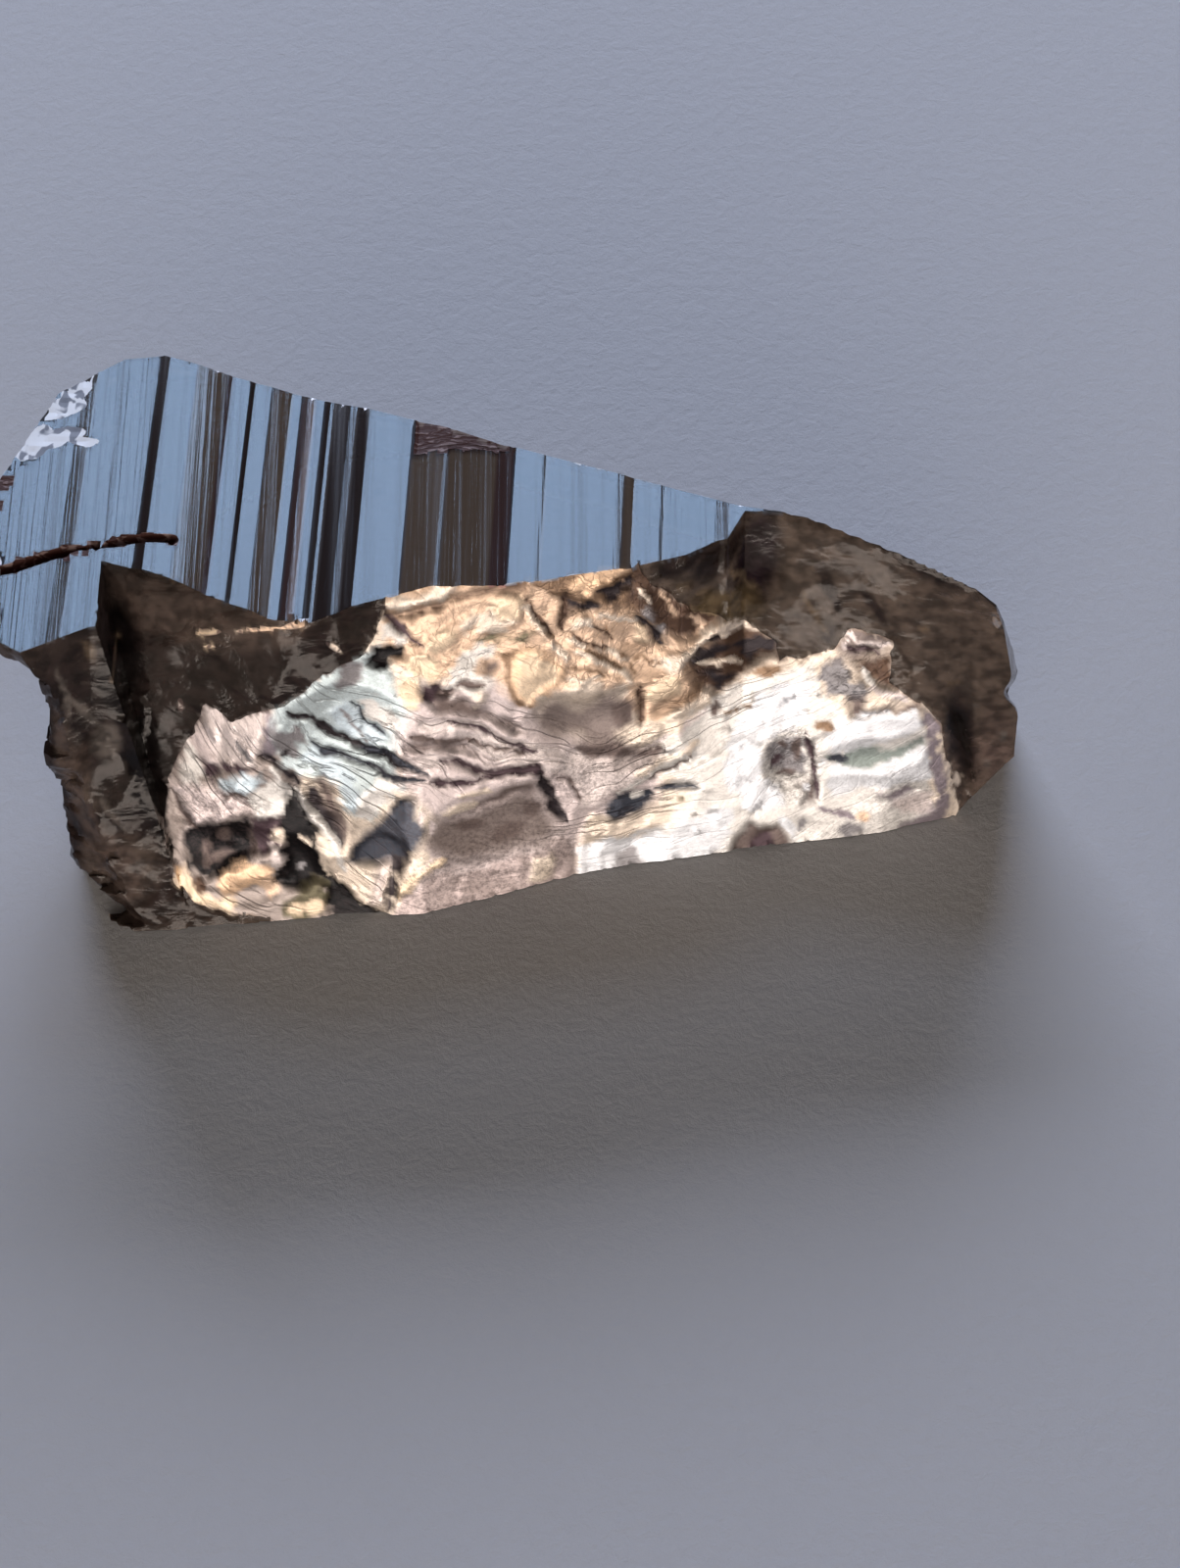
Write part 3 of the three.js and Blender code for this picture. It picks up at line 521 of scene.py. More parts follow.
    ("mauve", [(6.9, 0.1), (7.2, 0.45), (7.7, 0.45), (7.6, 0), (7.2, -0.3), (6.8, -0.3)]),
    # streak below the hollow
    ("cream", [(2, 1.3), (2.3, 1.6), (2.8, 1.4), (3.2, 1.4), (4.3, 1.6), (4.6, 1.4), (4.4, 1), (3.4, 0.9),
        (3.1, 0.7), (2.6, 0.9), (2.2, 1)]),
    ("slate", [(2.5, 1.9), (2.9, 2.2), (3.3, 2.2), (3.9, 2.05), (4.1, 1.8), (3.5, 1.55), (3.2, 1.45),
        (2.9, 1.5)]),
    ("white", [(2, -0.5), (1.9, 0.6), (2.4, 0.95), (3.2, 0.8), (4.4, 0.9), (4.6, -0.5)]),
    ("grey", [(2.8, -0.1), (3, 0.35), (3.3, 0.45), (3.7, 0.2), (3.9, -0.2)]),
]
# Spots over the plates: (tint, x, z, half width, half length, turn).
SPOTS = [
    ("umber", -8.4, 2.6, 0.2, 0.25, 0), ("umber", -8.9, 2.15, 0.15, 0.25, 0),
    ("umber", -8.6, 1.9, 0.45, 0.15, 12), ("umber", -7.55, 2.3, 0.12, 0.4, 20),
    ("cream", -6.85, 2.5, 0.25, 0.24, 0), ("brown", -9.15, 1.25, 0.22, 0.3, 30),
    ("pale_gold", -6.45, 0.3, 0.3, 0.24, 0), ("pale_gold", -5.9, 0.3, 0.3, 0.25, 0),
    ("grey", -6.25, 1.35, 0.1, 0.12, 0), ("dark", -6.6, 4.85, 0.13, 0.12, 0),
    ("pink", -2.75, 2.7, 0.13, 0.17, 0), ("pink", -2.35, 2.4, 0.12, 0.22, 0),
    ("pale_gold", -3, 6.35, 0.32, 0.3, 0), ("cream", -2.75, 1.6, 0.3, 0.28, 20),
    ("umber", -1.3, 2.1, 0.5, 0.2, -15), ("umber", -0.2, 1.7, 0.6, 0.25, 10),
    ("umber", 0.5, 2.2, 0.3, 0.3, 0), ("pale_pink", 1.5, 3.3, 0.27, 0.27, 0),
    ("umber", 3.2, 4.5, 0.38, 0.42, 0), ("umber", 2.6, 3.5, 1, 0.22, -20),
    ("umber", 4, 3.15, 0.5, 0.16, 10), ("warm_white", 3.5, 2.05, 0.22, 0.12, 0),
    ("grey", 3.4, 0.3, 0.25, 0.25, 0), ("umber", 5.85, 4.15, 0.14, 0.28, 0),
    ("bronze", 7.4, 4.95, 0.45, 0.17, 5), ("mauve", 7.75, 2.4, 0.26, 0.13, 35),
    ("umber", 8.35, 2.75, 0.14, 0.4, -10), ("umber", 8, 2.05, 0.3, 0.1, 5),
    ("umber", 7.9, 2.9, 0.25, 0.08, -20), ("white", 8.6, 1.6, 0.13, 0.15, 0),
    ("grey", 10, 0.2, 0.35, 0.25, 0), ("tan", 10.4, 0.55, 0.18, 0.14, 0),
    ("grey", 8.45, 0.55, 0.14, 0.3, -20), ("slate", 9.55, 2.35, 0.35, 0.15, 0),
    ("bronze", 9.15, 3.35, 0.35, 0.14, 0), ("cream", 9.2, 5.35, 0.35, 0.15, 0),
    # The pale_gold spot at (-8.7, 7.9) colours painted glints on the bevel. On the next line, the grey spot
    # colours the painted glint at the top of the right end and the tan spot colours those on the bevel.
    ("pink", 11.2, 4.1, 0.3, 0.1, 0), ("pale_gold", -8.7, 7.9, 0.7, 0.4, 10),
    ("grey", 14.05, 6.5, 0.4, 0.5, 0), ("tan", -6.4, 8.5, 1.6, 0.4, 12),
    ("olive", 4.95, 1.62, 0.14, 0.08, 0), ("white", 8.1, 0.5, 0.14, 0.5, 25),
    ("bronze", 3.6, 6, 0.2, 0.08, -10),
]
# Lines over the plates: (tint, half width, points).
LINES = [
    ("dark", 0.12, [(-7.4, 4.9), (-7.1, 4.8), (-6.8, 4.5), (-6.4, 4.1), (-6.2, 3.7)]),
    ("warm_white", 0.1, [(-7.1, 4.6), (-6.8, 4.1), (-6.5, 3.6)]),
    ("warm_white", 0.15, [(-6.35, 3.8), (-6, 3.3), (-5.6, 2.7), (-5.3, 2.3), (-5.1, 1.8), (-4.9, 1.4)]),
    ("cream", 0.13, [(-5.8, 2.4), (-5.6, 1.8), (-5.45, 1.1)]),
    ("cream", 0.13, [(-6.25, 2.45), (-6, 2.15)]),
    ("dark", 0.14, [(-6.6, 6.1), (-6, 5.9), (-5.6, 5.5), (-5.1, 5.1), (-4.5, 4.8), (-3.7, 4.5), (-3, 4.2)]),
    ("slate", 0.12, [(-5.8, 5.1), (-5.3, 4.7), (-4.6, 4.4), (-4, 4.2), (-3.3, 3.9), (-2.6, 3.8)]),
    ("slate", 0.07, [(-4.6, 6.1), (-4.1, 5.5), (-3.7, 5.1)]),
    ("grey", 0.07, [(-5, 6), (-4.6, 5.4), (-4.2, 4.9)]),
    ("grey", 0.08, [(-8, 5.4), (-7.8, 5), (-7.5, 4.8)]),
    ("umber", 0.1, [(-9.9, 3.8), (-9.6, 3.1), (-9.3, 2.7)]),
    ("umber", 0.09, [(-8.5, 3.7), (-8, 3.8), (-7.6, 3.7)]),
    ("mauve", 0.14, [(-2.1, 4.25), (-1.5, 3.95), (-0.6, 3.55), (0.1, 3.4), (0.6, 3.35), (0.9, 3)]),
    ("mauve", 0.09, [(-2.4, 3.75), (-1.6, 3.55), (-0.7, 3.45)]),
    ("umber", 0.08, [(-1.2, 4.5), (-0.6, 4.2), (0.3, 3.9)]),
    ("dark", 0.16, [(0.7, 3.2), (0.95, 2.75), (1.1, 2.1), (1.5, 1.5)]),
    ("umber", 0.12, [(-3.1, 5), (-2.5, 4.95), (-1.8, 4.7), (-1.1, 4.5)]),
    ("slate", 0.11, [(-4.5, 4.7), (-3.8, 4.6), (-3, 4.3), (-2.4, 3.9)]),
    ("cream", 0.11, [(-1.7, 3.1), (-1.2, 3.15), (-0.6, 3.05)]),
    ("cream", 0.15, [(-2, 2.75), (-1.6, 2.72), (-1.1, 2.65)]),
    ("pale_gold", 0.14, [(-3.45, 0.5), (-3, 1), (-2.4, 1.3), (-2, 1.35)]),
    ("umber", 0.1, [(1.2, 2.9), (1.7, 2.7), (1.9, 2.2)]),
    ("mauve", 0.1, [(-2, 5.3), (-0.9, 4.9), (-0.2, 4.3), (0.6, 3.8)]),
    ("mauve", 0.13, [(-3.6, 8.4), (-3.1, 8), (-2.6, 7.5)]),
    ("bronze", 0.13, [(0.3, 7.1), (-0.15, 6.8), (-0.2, 6.2), (-0.05, 5.7), (0.1, 5.45), (0.5, 5.3)]),
    ("umber", 0.12, [(-2.2, 6.1), (-1.4, 6.15), (-0.9, 6.1)]),
    ("brown", 0.09, [(0.45, 8.3), (0.8, 7.7), (1.2, 7.1)]),
    ("brown", 0.12, [(1.45, 8.2), (1.45, 7.7), (1.4, 7.2)]),
    ("cream", 0.1, [(1.8, 6.6), (2.3, 6.4), (2.7, 6)]),
    ("cream", 0.11, [(2.4, 6.75), (2.9, 6.3), (3.3, 5.9)]),
    ("cream", 0.1, [(2.7, 6), (3.2, 5.6), (3.5, 5.3)]),
    ("cream", 0.1, [(1.5, 5.85), (1.9, 5.75), (2.5, 5.75)]),
    ("cream", 0.09, [(1.7, 7.3), (2, 7.45), (2.4, 7.3)]),
    ("cream", 0.09, [(2.5, 7.55), (3.1, 7.35), (3.5, 7.15)]),
    ("cream", 0.08, [(1.6, 7), (1.9, 6.8), (2.4, 6.7)]),
    ("cream", 0.1, [(1, 7), (1.4, 6.7), (1.6, 6.4)]),
    ("bronze", 0.08, [(1.5, 6.2), (2.1, 6.1), (2.6, 5.7)]),
    ("bronze", 0.08, [(2.1, 6.65), (2.7, 6.15), (3.1, 5.75)]),
    ("brown", 0.07, [(1.55, 7.15), (2.1, 6.95), (2.7, 6.5)]),
    ("brown", 0.06, [(2.4, 7.3), (2.7, 7), (2.9, 6.6)]),
    ("bronze", 0.07, [(3, 6.3), (3.4, 5.8), (3.6, 5.5)]),
    ("bronze", 0.07, [(3.4, 6.2), (3.9, 5.9), (4.3, 5.7)]),
    ("dark", 0.14, [(3.5, 7.35), (4.1, 6.65), (4.4, 6.25)]),
    ("tan", 0.07, [(4.35, 7.8), (4.6, 7.3), (4.7, 7)]),
    ("cream", 0.06, [(3.7, 8.1), (4, 7.8), (4.1, 7.6)]),
    ("tan", 0.08, [(5.1, 7), (5.3, 6.7), (5.6, 6.5)]),
    ("brown", 0.15, [(3.7, 5.2), (3.75, 4.6), (3.7, 4.1)]),
    ("cream", 0.08, [(6, 6.1), (6.7, 6.2), (7.5, 6)]),
    ("cream", 0.08, [(5.25, 5.5), (5.9, 5.4), (6.7, 5.2)]),
    ("cream", 0.14, [(3.4, 2.6), (4.4, 2.9), (5.5, 3.4)]),
    ("pale_pink", 0.1, [(3.8, 3.3), (4.8, 3.7), (5.6, 4.2)]),
    ("warm_white", 0.1, [(3, 2.2), (4, 2.5), (5, 3.1)]),
    ("umber", 0.05, [(3.8, 2.4), (4.5, 2.6), (5.2, 3)]),
    ("bronze", 0.06, [(5.9, 4), (6.3, 3.9), (6.9, 4.1)]),
    ("mauve", 0.11, [(8.6, 3.3), (8.75, 2.8), (8.85, 2.2), (8.95, 1.6), (8.95, 1.2)]),
    ("pale_pink", 0.06, [(9.7, 5.9), (10.2, 5.6), (10.9, 5.5)]),
    ("pale_pink", 0.05, [(9.6, 5.5), (10, 5.9)]),
    ("cream", 0.05, [(10.3, 6), (10.8, 5.7)]),
    ("mauve", 0.06, [(9.7, 5.5), (10.2, 5.4), (10.7, 5.3)]),
    ("slate", 0.12, [(4.2, 2), (4.7, 2), (5.4, 1.95)]),
    ("pale_pink", 0.09, [(10.4, 4.35), (10.8, 4.2), (11.3, 4.05), (11.6, 3.95)]),
    ("warm_white", 0.08, [(10.2, 4.9), (10.3, 4.6), (10.6, 4.3)]),
    ("lavender", 0.1, [(8.9, 1), (9.6, 0.8), (10.2, 0.5)]),
]
# Smoky veils in the clear crystal around the bright part, as patches like SPOTS. The near-black ones are
# painted shade in the recess along the notch wall and in the groove of the nose, and the golden one is a
# painted glow below the crest.
VEILS = {
    "smoky": (0.27, 0.20, 0.16),
    "smoky_brown": (0.24, 0.17, 0.14),
    "smoky_tan": (0.44, 0.31, 0.21),
    # painted golden glow of light through the crystal
    "painted_golden_glow": (0.36, 0.25, 0.14),
    "smoky_grey": (0.30, 0.25, 0.22),
    "smoky_dark": (0.065, 0.043, 0.038),
    "smoky_plum": (0.05, 0.03, 0.038),
    # near-black: painted shade for the recesses
    "painted_recess_shade": (0.02, 0.015, 0.015),
}
SMOKE = [
    ("smoky_dark", -12, 4.5, 7, 6, 0), ("smoky_dark", -7.5, 7, 5, 1.2, 5),
    ("smoky_brown", -8.8, 8.3, 3.4, 0.75, 4), ("smoky_dark", -4.6, 8.3, 1.6, 0.9, 10),
    ("painted_recess_shade", -11.3, 7.2, 0.7, 1.3, 12), ("painted_recess_shade", -10.5, 4.4, 0.8, 1.6, 12),
    ("painted_recess_shade", -10, 2.6, 0.35, 0.9, 12), ("smoky_grey", -11.75, 5.6, 0.5, 0.7, 0),
    ("smoky_grey", -12.8, 5.6, 0.35, 0.6, -30), ("smoky", -11.4, 1.9, 1.3, 1.1, 20),
    ("smoky_tan", -11.3, 7.45, 0.12, 0.14, 0), ("smoky_tan", -12.1, 8.3, 0.14, 0.35, 25),
    ("smoky_brown", -12.6, 4.6, 0.5, 2.2, 12), ("smoky_brown", -11.6, 2, 0.8, 1.4, 25),
    ("smoky_grey", -12.8, 7.2, 0.12, 1, 8), ("smoky_grey", -12.3, 6.6, 0.12, 0.8, 40),
    ("smoky_grey", -11.7, 3.6, 0.12, 0.6, 35), ("smoky_dark", -7.8, 6.7, 2.2, 0.35, 5),
    ("smoky_plum", 7.1, 7.8, 0.75, 1.2, -15), ("smoky_dark", 5.9, 8.3, 0.9, 0.5, 25),
    ("smoky_dark", 5, 8.7, 1.2, 0.5, 15), ("painted_golden_glow", 6.2, 6.9, 1.3, 0.5, -20),
    ("smoky_tan", 5.3, 7.3, 0.3, 0.12, 20), ("smoky_tan", 4.95, 7.95, 0.28, 0.14, 0),
    ("smoky_tan", 6.6, 7.5, 0.07, 0.6, 25), ("smoky_tan", 8.6, 6.8, 0.08, 0.35, 30),
    ("smoky_dark", 9.2, 7.1, 0.2, 0.8, 30), ("smoky_dark", 9.2, 5.9, 0.35, 0.3, 0),
    ("smoky_dark", 10.5, 6.6, 0.2, 0.7, 35), ("smoky_tan", 8.9, 6.3, 0.1, 0.5, 30),
    ("smoky_tan", 12, 6.1, 0.14, 0.12, 0), ("smoky_tan", 12.9, 4.45, 0.3, 0.1, 0),
    ("smoky_dark", 13.3, 2.8, 0.4, 1.8, 12), ("painted_recess_shade", 13.15, 2.6, 0.35, 1.9, 14),
    ("smoky_brown", 14.3, 2.4, 0.7, 1.4, 0), ("smoky_grey", 13.6, 3.7, 0.16, 0.1, 0),
    ("smoky_grey", 14.5, 2.5, 0.12, 0.25, 0), ("smoky_grey", 14, 1.6, 0.12, 0.2, 0),
    ("smoky_dark", 12.6, 7.9, 2.4, 0.4, -14),
]


# Where the bright part is flaked, lined or stippled: (x, z, half width, half length, turn, share).
FLAKED = [
    (2.6, 7.2, 3.4, 2.1, -15, 0.55), (-1.6, 7.4, 2.2, 1.2, 15, 0.4), (10.4, 4.5, 1.6, 1, -20, 0.6),
    (8.2, 2.3, 1, 1.3, 0, 0.6), (4.2, 5.6, 2.2, 1.4, -20, 0.6),
]
LINED = [
    (-4.9, 4.8, 2.8, 2.4, -35, 0.6), (-0.8, 4.4, 3.2, 1.5, -15, 0.45), (-8.6, 4.4, 1.8, 1.6, 0, 0.6),
    (-7.6, 0.7, 1.8, 0.8, 0, 0.5), (2.8, 1.4, 2.4, 0.7, 10, 0.5), (3.4, 3.2, 1.6, 0.9, 15, 0.5),
    (6, 4, 2.4, 0.7, 15, 0.3), (-4.6, 0.9, 1, 0.9, 0, 0.5),
]
STIPPLED = [
    (-1, 0.8, 3.6, 1.2, 5, 1), (-0.6, 2, 2, 1, 0, 0.8), (2.6, 3, 2.2, 1.2, 10, 0.9),
    (11.6, 1, 1.6, 1.2, 0, 0.6), (-8.6, 3.2, 1.6, 1.2, 0, 0.9), (8.2, 2.3, 1, 1.4, 0, 0.9),
    (-8.4, 2.2, 1.2, 0.8, 0, 1), (-3.2, 2.4, 1.2, 1.2, 0, 0.7), (9.8, 0.4, 1.6, 0.6, 0, 0.6),
]
FLOW_CENTRE = (3.0, 16.0)  # of the arcs that the break's flow lines follow, (x, z)
FLOW_RADIUS = 12.0  # of the arc from which places across the flow are measured
SWIRL = 1.4  # how far noise bends the flow lines, in lumps of SWIRL_SIZE
SWIRL_SIZE = 2.6
RAGGED = 0.3  # how far noise bends the outlines, in lumps of RAGGED_SIZE
RAGGED_SIZE = 0.7
FRAYED = 0.1  # the same, in fine grains of FRAYED_SIZE
FRAYED_SIZE = 0.22
SPLINTERED_EDGE = 0.28  # width of the band in which a plate ends in splinters
LINE_SPREAD = 1.1  # half width of a line as drawn, for each millimetre of its own


def flow(u, v):
    """Coordinates along and across the flow lines of the break, which are arcs about a point above it."""
    du = u + SWIRL * waver(u, v, SWIRL_SIZE, 5) - FLOW_CENTRE[0]
    dv = v + SWIRL * waver(u, v, SWIRL_SIZE, 6) - FLOW_CENTRE[1]
    return FLOW_RADIUS * np.arctan2(du, -dv), FLOW_RADIUS - np.hypot(du, dv)


def bend(u, v, seed):
    """How far noise moves a place, mm."""
    fray = noise(u / FRAYED_SIZE, v / FRAYED_SIZE, seed + 1) - 0.5
    return RAGGED * waver(u, v, RAGGED_SIZE, seed) + FRAYED * fray


def bent(u, v):
    """Coordinates bent by noise, so that outlines drawn with them come out ragged."""
    return u + bend(u, v, 51), v + bend(u, v, 53)


def bright_share(u, v):
    """How far a place is inside the bright part of the break or one of its painted glints; over 0 is bright.
    """
    s, t = bent(u, v)
    inside = outline_share(s, t, BRIGHT, 0.3) - 0.5
    for painted_glint in PAINTED_GLINTS:
        inside = np.maximum(inside, ellipse(u, v, *painted_glint))
    return inside


def splintered(u, v):
    """Noise in splinters that lie along the flow, from -0.5 to 0.5."""
    along, across = flow(u, v)
    long_ones = noise(along / 0.6, across / 0.2, 58)
    short_ones = noise(along / 0.25, across / 0.12, 59)
    return 0.6 * long_ones + 0.4 * short_ones - 0.5


def laid_over(ground, share, colour):
    """A colour laid over the ground by a share from 0 to 1, which is cut off outside that."""
    return ground + np.clip(share, 0, 1)[..., None] * (np.array(colour) - ground)


def plate_tint(s, t, splinters):
    """Tint of the bright part, partly painted glare: its plates, then the spots and the lines over them."""
    total = np.tile(np.array(TINTS["cream"]), s.shape + (1,))
    for tint, outline in PLATES:
        if tint in TINT_SOFTNESS:
            share = outline_share(s, t, outline, TINT_SOFTNESS[tint])
        else:
            share = outline_share(s, t, outline, SPLINTERED_EDGE)
            share = 4 * (share + 0.7 * splinters - 0.5) + 0.5
        total = laid_over(total, share, TINTS[tint])
    for tint, *place in SPOTS:
        total = laid_over(total, 2.5 * ellipse(s, t, *place) + 0.3, TINTS[tint])
    for tint, half_width, path in LINES:
        drawn = stroke(s, t, path, LINE_SPREAD * half_width)
        total = laid_over(total, 1.8 * drawn + 1.5 * splinters * (drawn > 0), TINTS[tint])
    return total


def smoky_tint(s, t):
    """Tint of the smoky veils in the clear crystal, with painted shade in the recesses and a painted golden
    glow below the crest.
    """
    blotch = layered(s, t, 1.1, 57)[..., None]
    veil = np.array(VEILS["smoky"]) * (0.6 + 0.8 * blotch)
    for tint, *place in SMOKE:
        veil = laid_over(veil, 2.0 * ellipse(s, t, *place) + 0.2, VEILS[tint] * (0.7 + 0.6 * blotch))
    return veil


def front_tint(u, v, behind):
    """Tint of the bright part, partly painted glare, or of the smoky veil in the clear crystal outside it and
    behind, which holds painted shade and glow in places.
    """
    s, t = bent(u, v)
    bright = ~behind & (bright_share(u, v) > 0)
    return np.where(bright[..., None], plate_tint(s, t, splintered(u, v)), smoky_tint(s, t))


# ---- Relief of the front break, over x and z ----

# Hollows: (x, z, half width, half length, depth, turn).
HOLLOWS = [
    (-5.1, 5.1, 2, 1.7, 0.26, 35), (-4, 2, 0.9, 1.3, 0.16, 25), (-8.4, 2.2, 1.3, 0.8, 0.2, 0),
    (-0.5, 2, 2.2, 1.1, 0.14, -8), (2, 4.5, 1.8, 0.9, 0.14, -12), (3.7, 3.2, 0.9, 0.6, 0.12, 20),
    (7.3, 7.8, 0.8, 1.3, 0.22, -18), (8.1, 2.4, 0.8, 0.9, 0.12, 10), (10.6, 2.35, 1.9, 0.6, 0.08, 6),
    (3.6, 6.3, 1.5, 1, 0.2, -25), (5.9, 4.1, 1.3, 1.3, 0.16, 15), (10.2, 5.6, 1.6, 1.5, 0.16, -30),
    (-7.6, 0.9, 1.3, 0.5, 0.12, 5), (-11.8, 4.9, 0.9, 1.4, 0.25, -20), (-6.2, 1.6, 0.5, 1, 0.16, 20),
    (6.3, 5.5, 1.2, 0.5, 0.12, 0), (13.2, 1.8, 0.4, 1.8, 0.25, 12),
]
# How crumpled the break is: (x, z, half width, half length, turn, share); and where it is smooth.
CRUMPLED = [
    (3.2, 6.8, 3, 2, -20, 0.8), (-8.5, 3, 2, 3.2, 0, 0.6), (0, 4.2, 3.6, 1.6, -15, 0.4),
    (7, 3.4, 3.2, 2.4, 20, 0.35), (10.8, 4.6, 1.4, 1.2, 0, 0.7), (-1.5, 7.4, 2.4, 1.2, 10, 0.4),
    (2.5, 1, 6.5, 1, 6, 0.4), (-11, 3.5, 1.2, 4, 0, 0.5),
]
SMOOTH = [
    (-0.8, 2, 2.2, 1, -8), (2, 4.5, 1.6, 0.8, -12), (7.2, 7.8, 1, 1.5, -22),
    (10.8, 2.3, 1.8, 1.4, 0),
]


def crumpled_share(u, v):
    """How crumpled the break is at each place, less where it is smooth."""
    share = zone_share(u, v, CRUMPLED, 2.5)
    for place in SMOOTH:
        share *= 1 - np.minimum(0.9, 2.5 * dome(u, v, *place))
    return share


def draw_plates(u, v):
    """Depth of the plates: each lies at its own level and has its own small tilt."""
    s, t = bent(u, v)
    depth = np.full(u.shape, PLATE_DEPTH)
    draws = np.random.default_rng(5)
    for tint, outline in PLATES:
        calm = min(1, CALM_SIZE / np.ptp(outline, axis=0).max())
        tilt_u, tilt_v = draws.uniform(-PLATE_TILT, PLATE_TILT, 2) * calm
        if tint in SMOOTH_TINTS:
            continue
        x, z = np.mean(outline, axis=0)
        level = TINT_DEPTH.get(tint, PLATE_DEPTH) + tilt_u * (u - x) + tilt_v * (v - z)
        depth += outline_share(s, t, outline, PLATE_STEP) * (level - depth)
    for tint, half_width, path in LINES:
        cut = TINT_DEPTH.get(tint, PLATE_DEPTH) - PLATE_DEPTH
        depth += 0.7 * cut * np.clip(1.5 * stroke(s, t, path, LINE_SPREAD * half_width), 0, 1)
    return np.maximum(depth, 0)


def draw_front_relief(u, v):
    """Depth of the front break's hollows, scoops, plates, folds and hackly facets."""
    relief = scoops(u, v, seed=11, count=70, reach=((-9.5, 13.5), (0.2, 8.4)), widths=(0.5, 1.6),
                    flatness=(0.4, 1.0), turns=(-50, 10), depth=0.08)
    for x, z, half_width, half_length, depth, turn in HOLLOWS:
        relief = np.maximum(relief, depth * dome(u, v, x, z, half_width, half_length, turn))
    along, across = flow(u, v)
    folds = 1 - ridged(along / 2.2, across / 0.7, 21)
    facets = chips(along / 1.6, across, 0.5, 31)
    crumples = crumpled_share(u, v) * (0.08 * folds ** 2 + 0.14 * facets)
    return relief + draw_plates(u, v) + crumples


# ---- Relief of the other faces ----

# Cracks in the growth face: (half width, points as x, y).
CRACKS = [
    (0.19, [(-14.9, 0), (-14.1, 0.35), (-13.3, 0.75), (-12.7, 0.95)]),
    (0.05, [(-12.9, 0.9), (-11.6, 1.15)]),
    (0.16, [(-11.9, 1.05), (-11.2, 1.3), (-10.4, 1.35), (-9.8, 1.35)]),
]
CRACK_DEPTH = 0.5
# White bruises: (x, y, half width, half length, turn).
BRUISES = [
    (-13.2, 7.6, 0.42, 0.75, -25), (-13.75, 6.55, 0.75, 0.4, 20), (-14.35, 5.1, 0.4, 0.75, -25),
    (-13.55, 5.45, 0.75, 0.35, 25), (-12.75, 5.2, 0.42, 0.16, 0), (-14.9, 0.35, 0.25, 0.45, 0),
    (-14.85, -1.7, 0.3, 0.8, 10),
]
EDGE_CHIP = ((-3.15, 4.75), (-0.3, 5.0))  # the front edge of the chip at the back of the growth face
CHIP_TINT = (0.09, 0.035, 0.028)
WORN_END = -14.5  # x less the lean where the worn margin at the left begins
DAMAGE_LEAST = 0.03  # the growth face keeps its shape where it is broken less deep than this
STRIP_NUDGE = 0.01  # takes a place on a strip's right edge into that strip


def strip_profile():
    """The growth face across the striations: x, and height above HEIGHT, which is STRIP_TOP at the most."""
    places, heights = [BLOCK_LOW[0]], [0.0]
    for end, first, last, _ in STRIPS:
        step = (end - places[-1]) / STRIP_PARTS
        for k in range(STRIP_PARTS):
            tilt = first + (last - first) * (k + 0.5) / STRIP_PARTS
            places.append(places[-1] + step)
            heights.append(heights[-1] - math.tan(math.radians(tilt)) * step)
    reach = np.interp(np.arange(BLOCK_LOW[0], GROWTH_FACE_END, 0.05), places, heights)
    return places, np.array(heights) - reach.max() + STRIP_TOP


STRIP_PROFILE = strip_profile()


def strip_height(u):
    """Height of the striated growth face above HEIGHT, over x less the lean."""
    return np.interp(u, *STRIP_PROFILE)


def strip_veil_and_painted_reflection(u):
    """Tint of the clear crystal just under each strip, with painted sky reflection under the pale strips and
    painted dark reflection under the black ones.
    """
    ends = [strip[0] for strip in STRIPS]
    veils = np.array([STRIP_VEILS_AND_PAINTED_REFLECTION[strip[3]] for strip in STRIPS])
    return veils[np.minimum(np.searchsorted(ends, u), len(ends) - 1)]


def bruise_share(u, v):
    """Over 0 inside a bruise."""
    s = u + RAGGED * waver(u, v, 0.6, 62)
    t = v + RAGGED * waver(u, v, 0.6, 63)
    return np.max([ellipse(s, t, *bruise) for bruise in BRUISES], axis=0)


def draw_growth_damage(u, v):
    """Depth of the breaks in the growth face, over x less the lean, and y."""
    damage = np.zeros(u.shape)
    for half_width, path in CRACKS:
        damage = np.maximum(damage, CRACK_DEPTH * np.minimum(1, 2 * stroke(u, v, path, half_width)))
    (x0, y0), (x1, y1) = EDGE_CHIP
    past = v - y0 - (u - x0) * (y1 - y0) / (x1 - x0) + RAGGED * waver(u, v, 0.5, 66)
    chipped = np.clip(np.min([past / 0.04, (u - x0) / 0.1, (x1 - u) / 0.3], axis=0), 0, 1)
    damage = np.maximum(damage, chipped * (0.07 + 0.05 * chips(u, v, 0.4, 67)))
    margin = np.clip((WORN_END - u + 0.5 * waver(u, v, 0.6, 64)) / 0.4, 0, 1)
    damage = np.maximum(damage, margin * 0.04 * layered(u, v, 0.5, 68))
    bruised = np.clip(3 * bruise_share(u, v), 0, 1)
    return damage + bruised * (0.01 + 0.05 * chips(u, v, 0.4, 65))


def draw_back_relief(u, v):
    """Depth of the broken back, over x and z."""
    relief = scoops(u, v, seed=23, count=46, reach=((-14, 14), (0, 9)), widths=(1.2, 3.6),
                    flatness=(0.5, 1.0), turns=(-60, 60), depth=0.1)
    return relief + 0.03 * (1 - ridged(u / 1.6, v / 0.7, 71)) + 0.03 * layered(u, v, 0.9, 72)


def draw_left_relief(u, v):
    """Hackly relief of the thick end, over y and z."""
    return 0.85 * (chips(u, v, 1.3, 81) + 0.5) + 0.25 * chips(u, v, 0.55, 82) + 0.06 * layered(u, v, 1, 83)


